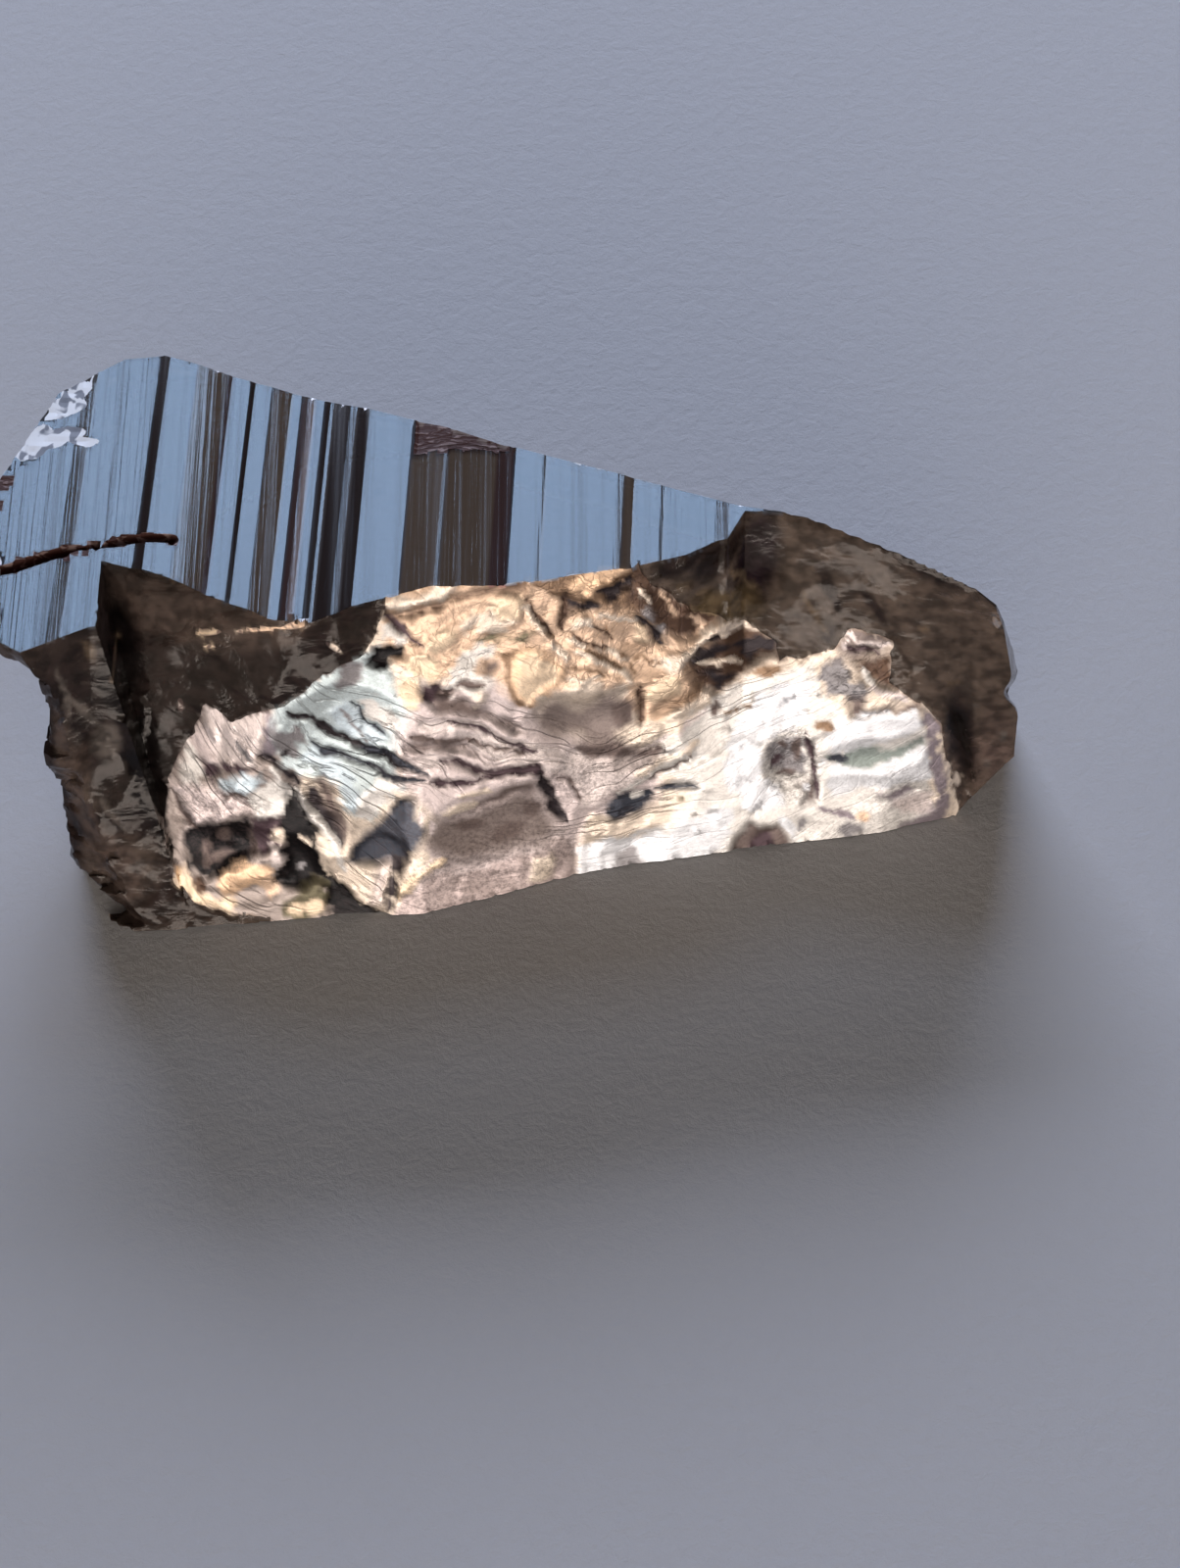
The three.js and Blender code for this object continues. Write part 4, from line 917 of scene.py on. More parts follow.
front_relief = ReliefMap((-17, -0.5), (16, 10), draw_front_relief)
growth_damage = ReliefMap((-17.6, -8), (16.4, 12), draw_growth_damage)
back_relief = ReliefMap((-17, -0.5), (16, 10), draw_back_relief)
left_relief = ReliefMap((-8, -0.5), (12, 10), draw_left_relief)


# ---- The crystal as one signed distance, mm: below 0 inside ----

def beyond(p, face):
    """Distance outside a face."""
    at, out = np.array(face[0], float), np.array(face[1], float)
    return (p - at) @ (out / np.linalg.norm(out))


def unleaned(x, y):
    """x less the lean of the striations, which is the same all along one of them."""
    return x - STRIATION_LEAN * y


def along_outline(outline, x, column):
    """One of an outline's other columns at a place along its x."""
    points = list(zip(*outline))
    return np.interp(x, points[0], points[column])


def front_break(p):
    """Distance outside the plain front break: straight from the foot, bending to the crest near the top."""
    x, y, z = p.T
    foot = along_outline(FRONT_FOOT, x, 1)
    top = along_outline(FRONT_CREST, x, 2)
    soft = along_outline(SOFT_CREST, x, 1)
    rise = z / top
    bend = (along_outline(FRONT_CREST, x, 1) - soft) * np.clip(rise, 0, 1.3) ** 3
    run = (soft - foot) / top
    return (foot + run * z + bend - y) / np.sqrt(1 + run ** 2)


REGIONS = ("front", "growth", "base", "left", "lip", "back", "bevel", "notch", "nose")


def surfaces(p):
    """Distance outside each region's surface, one row for each of REGIONS."""
    x, y, z = p.T
    below_crest = along_outline(FRONT_CREST, x, 2) - z
    deep = below_crest / EDGE_CALM  # relief fades out towards the crest and the growth face
    fading = np.clip((x - 4.5) / 3, 0, 1) * (1 - np.clip(deep, 0.08, 1))
    ripple = front_relief.at(x, z) * (1 - fading)
    rough_left = left_relief.at(y, z)
    rough_back = back_relief.at(x, z)
    wall = beyond(p, NOTCH_WALL)
    lean = unleaned(x, y)
    lefts = [beyond(p, BOUNDS[name]) for name in ("front_left", "foot_left", "end_left")]
    backs = [beyond(p, BOUNDS[name]) for name in ("back", "corner_left", "back_left", "back_far")]
    backs[0] = backs[0] - np.interp(x, RIDGE[:, 0], beyond(RIDGE, BOUNDS["back"]))
    groove = GROOVE_DEPTH * np.exp(-((z + GROOVE_FALL * y - GROOVE_HEIGHT) / GROOVE_WIDTH) ** 2)
    nose = np.max([beyond(p, face) for face in NOSE], axis=0) + groove
    return np.stack([
        front_break(p) + ripple,
        z - HEIGHT - strip_height(lean) + growth_damage.at(lean, y),
        -z,
        np.max(lefts, axis=0) + rough_left * np.clip((HEIGHT - z) / EDGE_CALM, 0, 1),
        np.minimum(beyond(p, UNDER_LIP), beyond(p, UNDER_LIP_SIDE)) + 0.6 * rough_left,
        np.max(backs, axis=0) + rough_back * np.clip(deep, 0, 1),
        np.minimum(beyond(p, BEVEL), wall),
        np.minimum(beyond(p, NOTCH) + 0.7 * ripple, wall + 0.1 * ripple),
        np.maximum(nose + 0.25 * rough_back, beyond(p, BOUNDS["foot_right"]) + 0.4 * rough_back),
    ])


def crystal_distance(p):
    """Distance outside the whole crystal."""
    return surfaces(p).max(axis=0)


# ---- Contouring: a grid surface whose vertices sit on the edges and corners of the form ----

COARSE = 4  # the field is tried first on a grid this much coarser
SHARP_LEAST = 0.03  # weaker directions than this are left to the mean of the crossings
SLOPE_STEP = 0.006  # mm


def sampled(field, low, step, counts):
    """The field on the grid's points near its surface, and only its sign on the others."""
    blocks = (counts - 1) // COARSE + 2
    grid = np.stack(np.meshgrid(*[np.arange(n) for n in blocks], indexing="ij"), -1).reshape(-1, 3)
    rough = field(low + grid * step * COARSE).reshape(blocks)
    nearest = [np.minimum((np.arange(n) + COARSE // 2) // COARSE, m - 1) for n, m in zip(counts, blocks)]
    rough = rough[np.ix_(*nearest)]
    near = np.abs(rough) < np.linalg.norm(step) * COARSE * 1.1
    values = np.where(rough < 0, -1.0, 1.0)
    values[near] = field(low + np.argwhere(near) * step)
    return values


def crossing(field, low_point, high_point, low_value, high_value):
    """Where the field passes 0 between pairs of points, closed in on in three steps."""
    for _ in range(3):
        share = np.clip(low_value / (low_value - high_value), 0.02, 0.98)[:, None]
        middle = low_point + (high_point - low_point) * share
        value = field(middle)
        same = (value < 0) == (low_value < 0)
        low_point = np.where(same[:, None], middle, low_point)
        high_point = np.where(same[:, None], high_point, middle)
        low_value = np.where(same, value, low_value)
        high_value = np.where(same, high_value, value)
    return middle


def corner_points(crossings, slope, owner, sample, total):
    """The point of each cell that lies nearest to the planes through its crossings."""
    def gather(weights):
        return np.bincount(owner, weights=weights[sample], minlength=total)

    count = np.bincount(owner, minlength=total)
    mean = np.stack([gather(crossings[:, k]) for k in range(3)], 1) / count[:, None]
    offset = np.einsum("ij,ij->i", slope, crossings)
    right = np.stack([gather(slope[:, k] * offset) for k in range(3)], 1)
    square = np.stack([np.stack([gather(slope[:, a] * slope[:, b]) for a in range(3)], 1)
                       for b in range(3)], 1)
    residue = right - np.einsum("mij,mj->mi", square, mean)
    strength, direction = np.linalg.eigh(square)
    kept = strength > SHARP_LEAST * strength[:, -1:]
    inverse = np.where(kept, 1 / np.where(kept, strength, 1), 0)
    moved = np.einsum("mij,mj->mi", direction, inverse * np.einsum("mji,mj->mi", direction, residue))
    return mean + moved


def contour(field, low, high, step):
    """Dual contouring of a field, as vertices and four-sided faces that point outward."""
    low = np.array(low, float)
    counts = np.ceil((np.array(high) - low) / step).astype(int) + 1
    values = sampled(field, low, step, counts)
    inside = values < 0
    strides = np.array([counts[1] * counts[2], counts[2], 1])
    crossings, cells, faces = [], [], []
    for axis in range(3):
        start, stop = [slice(None)] * 3, [slice(None)] * 3
        start[axis], stop[axis] = slice(0, -1), slice(1, None)
        edge = np.argwhere(inside[tuple(start)] != inside[tuple(stop)])
        one, other = (axis + 1) % 3, (axis + 2) % 3
        edge = edge[(edge[:, one] > 0) & (edge[:, other] > 0)]
        end = edge.copy()
        end[:, axis] += 1
        crossings.append(crossing(field, low + edge * step, low + end * step,
                                  values[tuple(edge.T)], values[tuple(end.T)]))
        home = edge @ strides
        around = np.stack([home, home - strides[one], home - strides[one] - strides[other],
                           home - strides[other]], 1)
        outward = inside[tuple(edge.T)]
        faces.append(np.where(outward[:, None], around, around[:, ::-1]))
        cells.append(around)
    crossings, cells, faces = (np.concatenate(part) for part in (crossings, cells, faces))
    nudge = np.eye(3) * SLOPE_STEP
    slope = np.stack([field(crossings + d) - field(crossings - d) for d in nudge], 1)
    slope /= np.maximum(np.linalg.norm(slope, axis=1, keepdims=True), 1e-9)
    used, owner = np.unique(cells, return_inverse=True)
    sample = np.repeat(np.arange(len(crossings)), 4)
    points = corner_points(crossings, slope, owner.reshape(-1), sample, len(used))
    place = np.stack([used // strides[0], used % strides[0] // strides[1], used % strides[1]], 1)
    corner = low + place * step
    points = np.clip(points, corner - 0.02 * step, corner + 1.02 * step)
    number = np.full(int(used.max()) + 1, -1)
    number[used] = np.arange(len(used))
    return points, number[faces]


# ---- Meshes ----

RIDGE_LINE = [(unleaned(x, y), y) for x, y, z in RIDGE]
RIDGE_ROW = 2.79  # where the contouring frame has the sharp ridge, close to a row of its grid
BREAK_REGIONS = ("front", "notch", "bevel", "nose")
# The third finish is the bright part of the break, whose pale tints are partly painted glare.
STRIATED, GLASSY, PAINTED_GLARE_SKIN, CHIPPED, WORN = range(5)  # places in the list of finishes
SHARP_ANGLE = 38  # edges at least this sharp, in degrees, are shaded as edges


def leaned(q):
    """From the contouring frame, which runs along the striations and the ridge, to the growth frame."""
    x, y, z = q.T
    y = y + along_outline(RIDGE_LINE, x, 1) - RIDGE_ROW
    return np.stack([x + STRIATION_LEAN * y, y, z], 1)


def region_of(points, names):
    """Whether each point lies on one of the named regions."""
    return np.isin(surfaces(points).argmax(axis=0), [REGIONS.index(name) for name in names])


def drawn_to_edge(points):
    """Points of the break moved onto the edge of the bright part where it is near, and which ones moved."""
    u, v = points[:, 0], points[:, 2]
    inside, step, ahead = bright_share(u, v), 0.02, 0.01
    slope_u = (bright_share(u + step, v) - bright_share(u - step, v)) / (2 * step)
    slope_v = (bright_share(u, v + step) - bright_share(u, v - step)) / (2 * step)
    steep = np.maximum(slope_u ** 2 + slope_v ** 2, 0.01)
    near = (np.abs(inside) < 0.5 * CELL[0] * np.sqrt(steep)) & (v > 0.02)
    near &= region_of(points, BREAK_REGIONS)
    moved = points.copy()
    moved[near, 0] -= (inside * slope_u / steep)[near]
    moved[near, 2] -= (inside * slope_v / steep)[near]
    for _ in range(2):
        gap = crystal_distance(moved[near])
        rate = (crystal_distance(moved[near] + np.array([0, ahead, 0])) - gap) / ahead
        moved[near, 1] -= np.clip(gap / np.minimum(rate, -0.2), -0.05, 0.05)
    return moved, near


def drawn_to_strips(points):
    """Points with those of the growth face moved onto a near edge of a strip, and which lie on that face."""
    on_top = region_of(leaned(points), ("growth",))
    u = points[on_top, 0]
    edges = np.array([strip[0] for strip in STRIPS])
    nearest = edges[np.abs(u[:, None] - edges).argmin(axis=1)]
    points[on_top, 0] = np.where(np.abs(u - nearest) < 0.5 * CELL[0], nearest, u)
    return points, on_top


def settle_on_strips(points, u, on_top):
    """Sets the points of the growth face at its exact height, and finds those in a crack or a chip."""
    y = points[on_top, 1]
    depth = growth_damage.at(u, y)
    bruise = bruise_share(u, y)
    depth = np.where((depth > DAMAGE_LEAST) | (bruise > 0), depth, 0)
    points[on_top, 2] = HEIGHT + strip_height(u) - depth
    hurt = np.zeros(len(points), bool)
    hurt[on_top] = (depth > DAMAGE_LEAST) & (bruise < 0)
    return hurt


def cut_faces(faces, on_edge):
    """The faces that stay whole, and halves of those crossed from corner to corner by the bright edge."""
    cut = on_edge[faces]
    one_way = cut[:, 0] & cut[:, 2]
    other_way = cut[:, 1] & cut[:, 3] & ~one_way
    halves = [faces[one_way][:, (0, 1, 2)], faces[one_way][:, (0, 2, 3)],
              faces[other_way][:, (1, 2, 3)], faces[other_way][:, (1, 3, 0)]]
    return faces[~(one_way | other_way)], np.concatenate(halves)


def write_attribute(mesh, name, kind, key, values):
    """Values at each point of the mesh, under a name."""
    mesh.attributes.new(name, kind, "POINT").data.foreach_set(key, values.ravel())


def write_patterns(mesh, points, on_top, rim):
    """The tint, flow and grain at each point, which the materials read."""
    u, v = points[:, 0], points[:, 2]
    lean = unleaned(points[on_top, 0], points[on_top, 1])
    tint = np.ones((len(points), 4))
    tint[:, :3] = front_tint(u, v, region_of(points, ("back", "left")))
    tint[on_top, :3] = np.where(rim[on_top, None], CHIP_TINT, strip_veil_and_painted_reflection(lean - STRIP_NUDGE))
    write_attribute(mesh, "tint", "FLOAT_COLOR", "color", tint)
    lines = np.zeros((len(points), 3))
    lines[:, 0], lines[:, 1] = flow(u, v)
    write_attribute(mesh, "flow", "FLOAT_VECTOR", "vector", lines)
    grain = np.ones((len(points), 4))
    for k, zones in enumerate((FLAKED, LINED, STIPPLED)):
        grain[:, k] = zone_share(u, v, zones)
    grain[on_top, 0] = np.clip(0.5 + bruise_share(lean, points[on_top, 1]), 0, 1)
    write_attribute(mesh, "grain", "FLOAT_COLOR", "color", grain)


def crystal_mesh(name, finishes):
    """The crystal's mesh in the part's frame, with a finish for each face and patterns at its points."""
    points, faces = contour(lambda q: crystal_distance(leaned(q)), BLOCK_LOW, BLOCK_HIGH, CELL)
    points[:, 2] = np.maximum(points[:, 2], 0)
    points, on_top = drawn_to_strips(points)
    u = points[on_top, 0]
    points = leaned(points)
    hurt = settle_on_strips(points, u, on_top)
    rim = np.zeros(len(points), bool)
    rim[faces[hurt[faces].any(axis=1)]] = True
    points, on_edge = drawn_to_edge(points)
    whole, halves = cut_faces(faces, on_edge)

    centres = np.concatenate([points[whole].mean(axis=1), points[halves].mean(axis=1)])
    growth = region_of(centres, ("growth",))
    base = region_of(centres, ("base",))
    finish = np.where(growth, STRIATED, GLASSY).astype(np.int32)
    bright = bright_share(centres[:, 0], centres[:, 2]) > 0
    finish[region_of(centres, BREAK_REGIONS) & bright] = PAINTED_GLARE_SKIN
    finish[growth & np.concatenate([hurt[whole].any(axis=1), hurt[halves].any(axis=1)])] = CHIPPED
    finish[base] = WORN

    mesh = bpy.data.meshes.new(name)
    mesh.from_pydata((points - PART_ORIGIN) * MM, [], whole.tolist() + halves.tolist())
    for material in finishes:
        mesh.materials.append(material)
    mesh.polygons.foreach_set("material_index", finish)
    mesh.set_sharp_from_angle(angle=math.radians(SHARP_ANGLE))
    mesh.polygons.foreach_set("use_smooth", ~(growth | base))
    write_patterns(mesh, points, on_top, rim)
    mesh.update()
    mesh.validate()
    return mesh


# ---- Materials: places are in metres, or in millimetres along and across the flow ----

AXINITE_IOR = 1.68
AXINITE_TINT = (0.80, 0.58, 0.54, 1)
ABSORPTION_TINT = (0.52, 0.30, 0.14, 1)
ABSORPTION_DENSITY = 330
CREASE_TONE = 0.42
BREAK_SHADOW = (0.05, 0.034, 0.036, 1)


def new_material(name):
    """A material with its node tree and its shader."""
    material = bpy.data.materials.new(name)
    material.use_nodes = True
    tree = material.node_tree
    return material, tree, tree.nodes["Principled BSDF"]


def feed(tree, socket, value):
    """Sets a socket to a number or a colour, or links it to another node's output."""
    if isinstance(value, bpy.types.NodeSocket):
        tree.links.new(value, socket)
    else:
        socket.default_value = value


def object_place(tree):
    return tree.nodes.new("ShaderNodeTexCoord").outputs["Object"]


def drawn_on_mesh(tree, name, output="Color"):
    """The tint, grain or flow that the mesh holds at each point."""
    node = tree.nodes.new("ShaderNodeAttribute")
    node.attribute_name = name
    return node.outputs[output]


def grain_zones(tree):
    """The three channels of the mesh's grain."""
    node = tree.nodes.new("ShaderNodeSeparateColor")
    tree.links.new(drawn_on_mesh(tree, "grain"), node.inputs[0])
    return node.outputs[0], node.outputs[1], node.outputs[2]


def stretched_noise(tree, place, stretch, detail=3.0, distortion=0.0, coarseness=0.5):
    """Noise over a place whose axes are multiplied by the stretch."""
    mapping = tree.nodes.new("ShaderNodeMapping")
    mapping.inputs["Scale"].default_value = stretch
    noise_node = tree.nodes.new("ShaderNodeTexNoise")
    noise_node.inputs["Scale"].default_value = 1.0
    noise_node.inputs["Detail"].default_value = detail
    noise_node.inputs["Distortion"].default_value = distortion
    noise_node.inputs["Roughness"].default_value = coarseness
    tree.links.new(place, mapping.inputs["Vector"])
    tree.links.new(mapping.outputs["Vector"], noise_node.inputs["Vector"])
    return noise_node.outputs["Fac"]


def ramped(tree, value, low, high, low_out=0.0, high_out=1.0):
    """The value mapped from a low and a high bound to two outputs, smoothly."""
    node = tree.nodes.new("ShaderNodeMapRange")
    node.interpolation_type = "SMOOTHSTEP"
    for key, number in (("From Min", low), ("From Max", high), ("To Min", low_out), ("To Max", high_out)):
        node.inputs[key].default_value = number
    tree.links.new(value, node.inputs["Value"])
    return node.outputs["Result"]


def calculated(tree, operation, *values):
    """One step of arithmetic on numbers and outputs."""
    node = tree.nodes.new("ShaderNodeMath")
    node.operation = operation
    for socket, value in zip(node.inputs, values):
        feed(tree, socket, value)
    return node.outputs[0]


def product(tree, first, *others):
    """All the values multiplied, from left to right."""
    for other in others:
        first = calculated(tree, "MULTIPLY", first, other)
    return first


def one_less(tree, value):
    return calculated(tree, "SUBTRACT", 1.0, value)


def toned(tree, weight, tone):
    """1 where the weight is 0, the tone where it is 1."""
    return one_less(tree, product(tree, weight, one_less(tree, tone)))


def tinted(tree, share, below, above, blend="MIX"):
    """Colour blended from below to above by a share."""
    node = tree.nodes.new("ShaderNodeMix")
    node.data_type = "RGBA"
    node.blend_type = blend
    feed(tree, node.inputs["Factor"], share)
    feed(tree, node.inputs[6], below)
    feed(tree, node.inputs[7], above)
    return node.outputs[2]


def add_bump(tree, shader, height, distance, strength=1.0):
    bump = tree.nodes.new("ShaderNodeBump")
    bump.inputs["Distance"].default_value = distance
    bump.inputs["Strength"].default_value = strength
    tree.links.new(height, bump.inputs["Height"])
    tree.links.new(bump.outputs["Normal"], shader.inputs["Normal"])


def clear_axinite(name, roughness, clearness):
    """Clove-brown glass that absorbs blue the most, with a faint smoky veil."""
    material, tree, shader = new_material(name)
    shader.inputs["Base Color"].default_value = AXINITE_TINT
    shader.inputs["Roughness"].default_value = roughness
    shader.inputs["IOR"].default_value = AXINITE_IOR
    shader.inputs["Transmission Weight"].default_value = clearness
    absorb = tree.nodes.new("ShaderNodeVolumeAbsorption")
    absorb.inputs["Color"].default_value = ABSORPTION_TINT
    absorb.inputs["Density"].default_value = ABSORPTION_DENSITY
    tree.links.new(absorb.outputs["Volume"], tree.nodes["Material Output"].inputs["Volume"])
    return material, tree, shader


def striated_face():
    """Mirror strips of the growth face over a veil that partly paints their reflection, crushed to white
    grains where the bruises are.
    """
    material, tree, shader = clear_axinite("striated_face", 0.11, 0.8)
    place = object_place(tree)
    rim = stretched_noise(tree, place, (1500, 1100, 1500), 3, 0.6)
    crushed = calculated(tree, "ADD", grain_zones(tree)[0], product(tree, rim, 0.9))
    share = ramped(tree, crushed, 0.93, 0.97)
    grains = ramped(tree, stretched_noise(tree, place, (2600, 1700, 2000), 1, 0.7), 0.38, 0.46)
    grain_tint = tinted(tree, grains, (0.12, 0.13, 0.17, 1), (0.97, 0.98, 1.0, 1))
    tint = tinted(tree, share, drawn_on_mesh(tree, "tint"), grain_tint)
    tree.links.new(tint, shader.inputs["Base Color"])
    streaks = stretched_noise(tree, place, (1900, 20, 250), 5, 0.0, 0.65)
    streak_roughness = ramped(tree, streaks, 0.44, 0.74, 0.1, 0.24)
    crushed_roughness = ramped(tree, share, 0, 1, 0.1, 0.55)
    roughness = calculated(tree, "MAXIMUM", streak_roughness, crushed_roughness)
    tree.links.new(roughness, shader.inputs["Roughness"])
    tree.links.new(ramped(tree, share, 0, 1, 0.8, 0.0), shader.inputs["Transmission Weight"])
    add_bump(tree, shader, stretched_noise(tree, place, (4200, 30, 500), 4, 0.0, 0.6), 0.000012)
    return material


def hackly_chip():
    """Broken edges in the growth face: red-brown splinters with pale ones between."""
    material, tree, shader = clear_axinite("hackly_chip", 0.6, 0.1)
    splinters = stretched_noise(tree, object_place(tree), (1500, 6000, 3000), 4, 0.8)
    pale = ramped(tree, splinters, 0.54, 0.62)
    tint = tinted(tree, pale, drawn_on_mesh(tree, "tint"), (0.36, 0.25, 0.23, 1))
    tree.links.new(tint, shader.inputs["Base Color"])
    shader.inputs["Specular IOR Level"].default_value = 0.05
    add_bump(tree, shader, splinters, 0.00008)
    return material


def glassy_break():
    """The clear crystal outside the bright part: a mottled smoky veil, with painted shade and glow in places,
    and soft ripples.
    """
    material, tree, shader = clear_axinite("glassy_break", 0.14, 0.7)
    place = object_place(tree)
    mottle = ramped(tree, stretched_noise(tree, place, (2200, 2200, 3200), 4), 0.35, 0.65, 0.6, 1.45)
    grey = tree.nodes.new("ShaderNodeCombineColor")
    for channel in range(3):
        tree.links.new(mottle, grey.inputs[channel])
    tint = tinted(tree, 1.0, drawn_on_mesh(tree, "tint"), grey.outputs[0], "MULTIPLY")
    tree.links.new(tint, shader.inputs["Base Color"])
    shader.inputs["Specular IOR Level"].default_value = 0.25
    shader.inputs["Specular Tint"].default_value = (0.25, 0.23, 0.22, 1)
    add_bump(tree, shader, stretched_noise(tree, place, (900, 900, 1600), 3, 0.5), 0.00004)
    return material


def worn_base():
    """The face it rests on, dull and grained."""
    material, tree, shader = clear_axinite("worn_base", 0.6, 0.7)
    shader.inputs["Base Color"].default_value = (0.40, 0.28, 0.21, 1)
    add_bump(tree, shader, stretched_noise(tree, object_place(tree), (2500, 2500, 2500)), 0.0001)
    return material


def flakes(tree, place):
    """Overlapping flakes, each with its own tone, and darker gaps round some of them."""
    wander = tree.nodes.new("ShaderNodeTexNoise")
    wander.inputs["Scale"].default_value = 1.3
    wander.inputs["Detail"].default_value = 5.0
    tree.links.new(place, wander.inputs["Vector"])
    shift = tree.nodes.new("ShaderNodeVectorMath")
    shift.operation = "MULTIPLY_ADD"
    shift.inputs[1].default_value = (1.5, 1.5, 0)
    tree.links.new(wander.outputs["Color"], shift.inputs[0])
    tree.links.new(place, shift.inputs[2])
    stretch = tree.nodes.new("ShaderNodeMapping")
    stretch.inputs["Rotation"].default_value = (0, 0, 0.5)
    stretch.inputs["Scale"].default_value = (1.5, 2.8, 1)
    tree.links.new(shift.outputs[0], stretch.inputs["Vector"])
    shapes = []
    for feature, output in (("F1", "Color"), ("DISTANCE_TO_EDGE", "Distance")):
        cells = tree.nodes.new("ShaderNodeTexVoronoi")
        cells.feature = feature
        cells.inputs["Scale"].default_value = 1.0
        tree.links.new(stretch.outputs[0], cells.inputs["Vector"])
        shapes.append(cells.outputs[output])
    tones = ramped(tree, shapes[0], 0.15, 0.55, 0.7, 1.0)
    gaps = ramped(tree, shapes[1], 0.0, 0.16, 0.72, 1.0)
    return product(tree, tones, gaps)


def creases(tree, place, stretch, width):
    """Dark where a noise passes its middle value, which makes thin lines drawn out along the place."""
    wave = stretched_noise(tree, place, stretch, 1.5, 0.4)
    middle = calculated(tree, "ABSOLUTE", calculated(tree, "SUBTRACT", wave, 0.5))
    return ramped(tree, middle, 0.0, width, CREASE_TONE, 1.0)


def film_with_painted_glare():
    """The foil-like skin of the break, its pale tints partly painted glare: tinted plates with flakes,
    creases along the flow and stipple.
    """
    material, tree, shader = new_material("film_with_painted_glare")
    flaked, lined, stippled = grain_zones(tree)
    place = drawn_on_mesh(tree, "flow", "Vector")
    streaks = ramped(tree, stretched_noise(tree, place, (0.8, 3.0, 1), 6, 0.8, 0.6), 0.34, 0.46, 0.5, 1.0)
    lines = product(tree, streaks, creases(tree, place, (0.22, 1.7, 1), 0.02))
    dots = stretched_noise(tree, object_place(tree), (8000, 8000, 10000), 5, 0.0, 0.75)
    stipple = toned(tree, stippled, ramped(tree, dots, 0.36, 0.6, 0.45, 1.15))
    blotches = ramped(tree, stretched_noise(tree, place, (1.3, 2.2, 1), 5, 1.5), 0.35, 0.5, 0.88, 1.0)
    grit = ramped(tree, stretched_noise(tree, place, (9, 16, 1), 4, 1.0, 0.65), 0.34, 0.62, 0.8, 1.06)
    shape = product(tree, toned(tree, flaked, flakes(tree, place)), toned(tree, lined, lines))
    shadow = product(tree, one_less(tree, product(tree, shape, blotches, stipple, grit)), 0.92)
    tint = tinted(tree, shadow, drawn_on_mesh(tree, "tint"), BREAK_SHADOW)
    tree.links.new(tint, shader.inputs["Base Color"])
    shader.inputs["Metallic"].default_value = 0.45
    shader.inputs["Roughness"].default_value = 0.38
    shader.inputs["IOR"].default_value = AXINITE_IOR
    shader.inputs["Specular IOR Level"].default_value = 0.15
    add_bump(tree, shader, shape, 0.00004)
    return material


def pale_paper():
    """The floor's paper, with its fine tooth."""
    material, tree, shader = new_material("pale_paper")
    shader.inputs["Base Color"].default_value = (0.62, 0.61, 0.62, 1)
    shader.inputs["Roughness"].default_value = 0.9
    tooth = stretched_noise(tree, object_place(tree), (2200, 2200, 2200), 8, 0.3, 0.72)
    add_bump(tree, shader, tooth, 0.0001, 0.45)
    return material


# ---- The piece ----

def placed(name, data):
    """An object of the scene, at the origin and unturned."""
    made = bpy.data.objects.new(name, data)
    bpy.context.scene.collection.objects.link(made)
    return made


# In the order of STRIATED, GLASSY, PAINTED_GLARE_SKIN, CHIPPED and WORN.
finishes = [striated_face(), glassy_break(), film_with_painted_glare(), hackly_chip(), worn_base()]
crystal = placed("axinite_crystal", crystal_mesh("axinite_crystal", finishes))
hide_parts("crystal")
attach(crystal, "root")


# ---- Floor, lights and camera, m and degrees ----

FLOOR_SIDE = 1.2
FLOOR_GAP = 0.00003
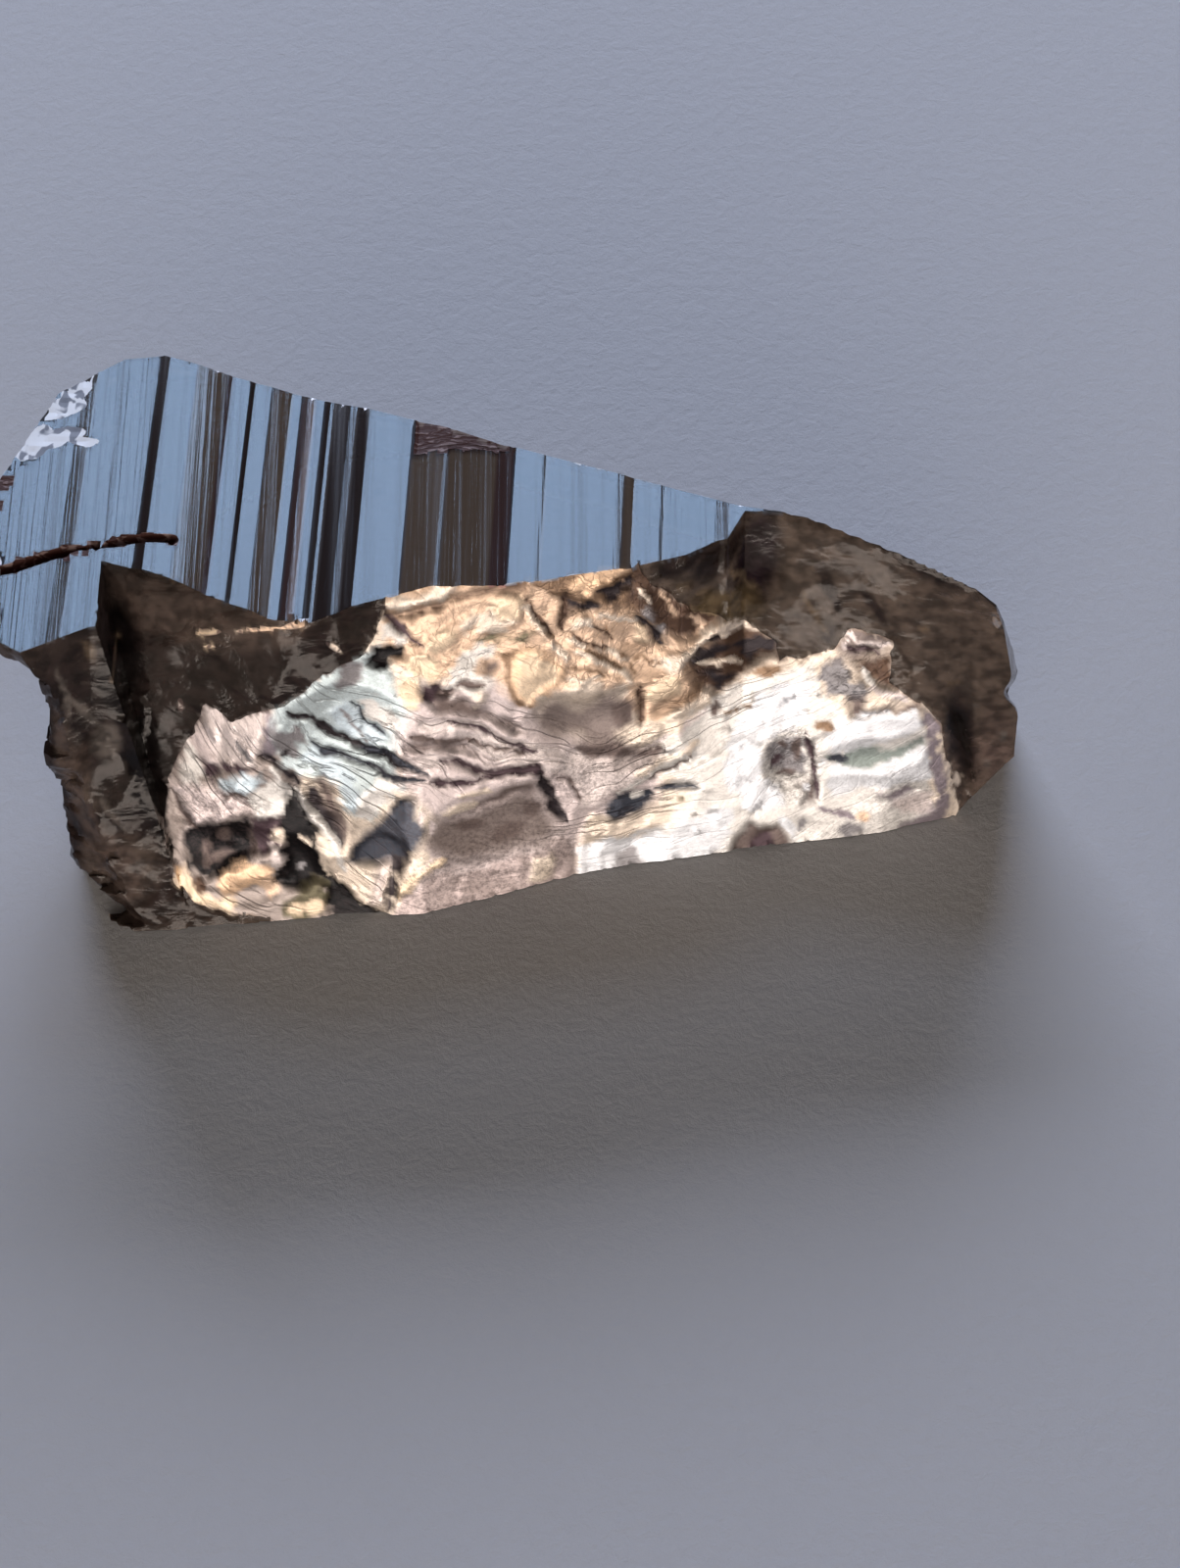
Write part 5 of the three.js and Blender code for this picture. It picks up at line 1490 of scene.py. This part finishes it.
# Soft lights aimed at the crystal: (name, azimuth from behind it, elevation, distance, size, tint, radiance).
LIGHTS = [
    ("window", -6, 26, 0.45, (0.315, 0.12), (0.70, 0.78, 1.0), 14),
    ("sky", -3.5, 47, 0.45, (0.13, 0.08), (0.42, 0.59, 0.87), 5),
    ("front_fill", 180, 16, 0.5, (0.8, 0.3), (1.0, 0.87, 0.75), 0.75),
    ("front_key", 180, 8, 0.5, (0.45, 0.13), (1.0, 0.94, 0.88), 5.15),
]
POWER = 4  # of a light for each square metre and unit of radiance
STUDIO_DARK = (0.035, 0.031, 0.028, 1)
CAMERA_PLACE = (2.2198, -94.155, 111.776)  # growth frame, mm
CAMERA_ELEVATION = 50
CAMERA_LENS = 111.4


def soft_light(name, azimuth, elevation, distance, size, tint, radiance):
    """A rectangular light that faces the middle of the crystal's footprint."""
    lamp = bpy.data.lights.new(name, "AREA")
    lamp.shape = "RECTANGLE"
    lamp.size, lamp.size_y = size
    lamp.color = tint
    lamp.energy = POWER * size[0] * size[1] * radiance
    turn, rise = math.radians(azimuth), math.radians(elevation)
    way = Vector((math.sin(turn) * math.cos(rise), math.cos(turn) * math.cos(rise), math.sin(rise)))
    light = placed(name, lamp)
    light.location = way * distance
    light.rotation_euler = way.to_track_quat("Z", "Y").to_euler()


half = FLOOR_SIDE / 2
floor_mesh = bpy.data.meshes.new("floor")
floor_corners = [(x, y, -FLOOR_GAP) for x, y in ((-half, -half), (half, -half), (half, half), (-half, half))]
floor_mesh.from_pydata(floor_corners, [], [(0, 1, 2, 3)])
floor_mesh.materials.append(pale_paper())
floor = placed("floor", floor_mesh)

for light in LIGHTS:
    soft_light(*light)

world = bpy.data.worlds.new("studio")
world.use_nodes = True
world.node_tree.nodes["Background"].inputs["Color"].default_value = STUDIO_DARK
bpy.context.scene.world = world

camera_data = bpy.data.cameras.new("camera")
camera_data.lens = CAMERA_LENS
camera_data.sensor_width = 36
camera_data.clip_start = 0.01
camera = placed("camera", camera_data)
camera.location = (np.array(CAMERA_PLACE) - PART_ORIGIN) * MM
camera.rotation_euler = (math.radians(90 - CAMERA_ELEVATION), 0, 0)
bpy.context.scene.camera = camera
bpy.context.scene.view_settings.view_transform = "Standard"
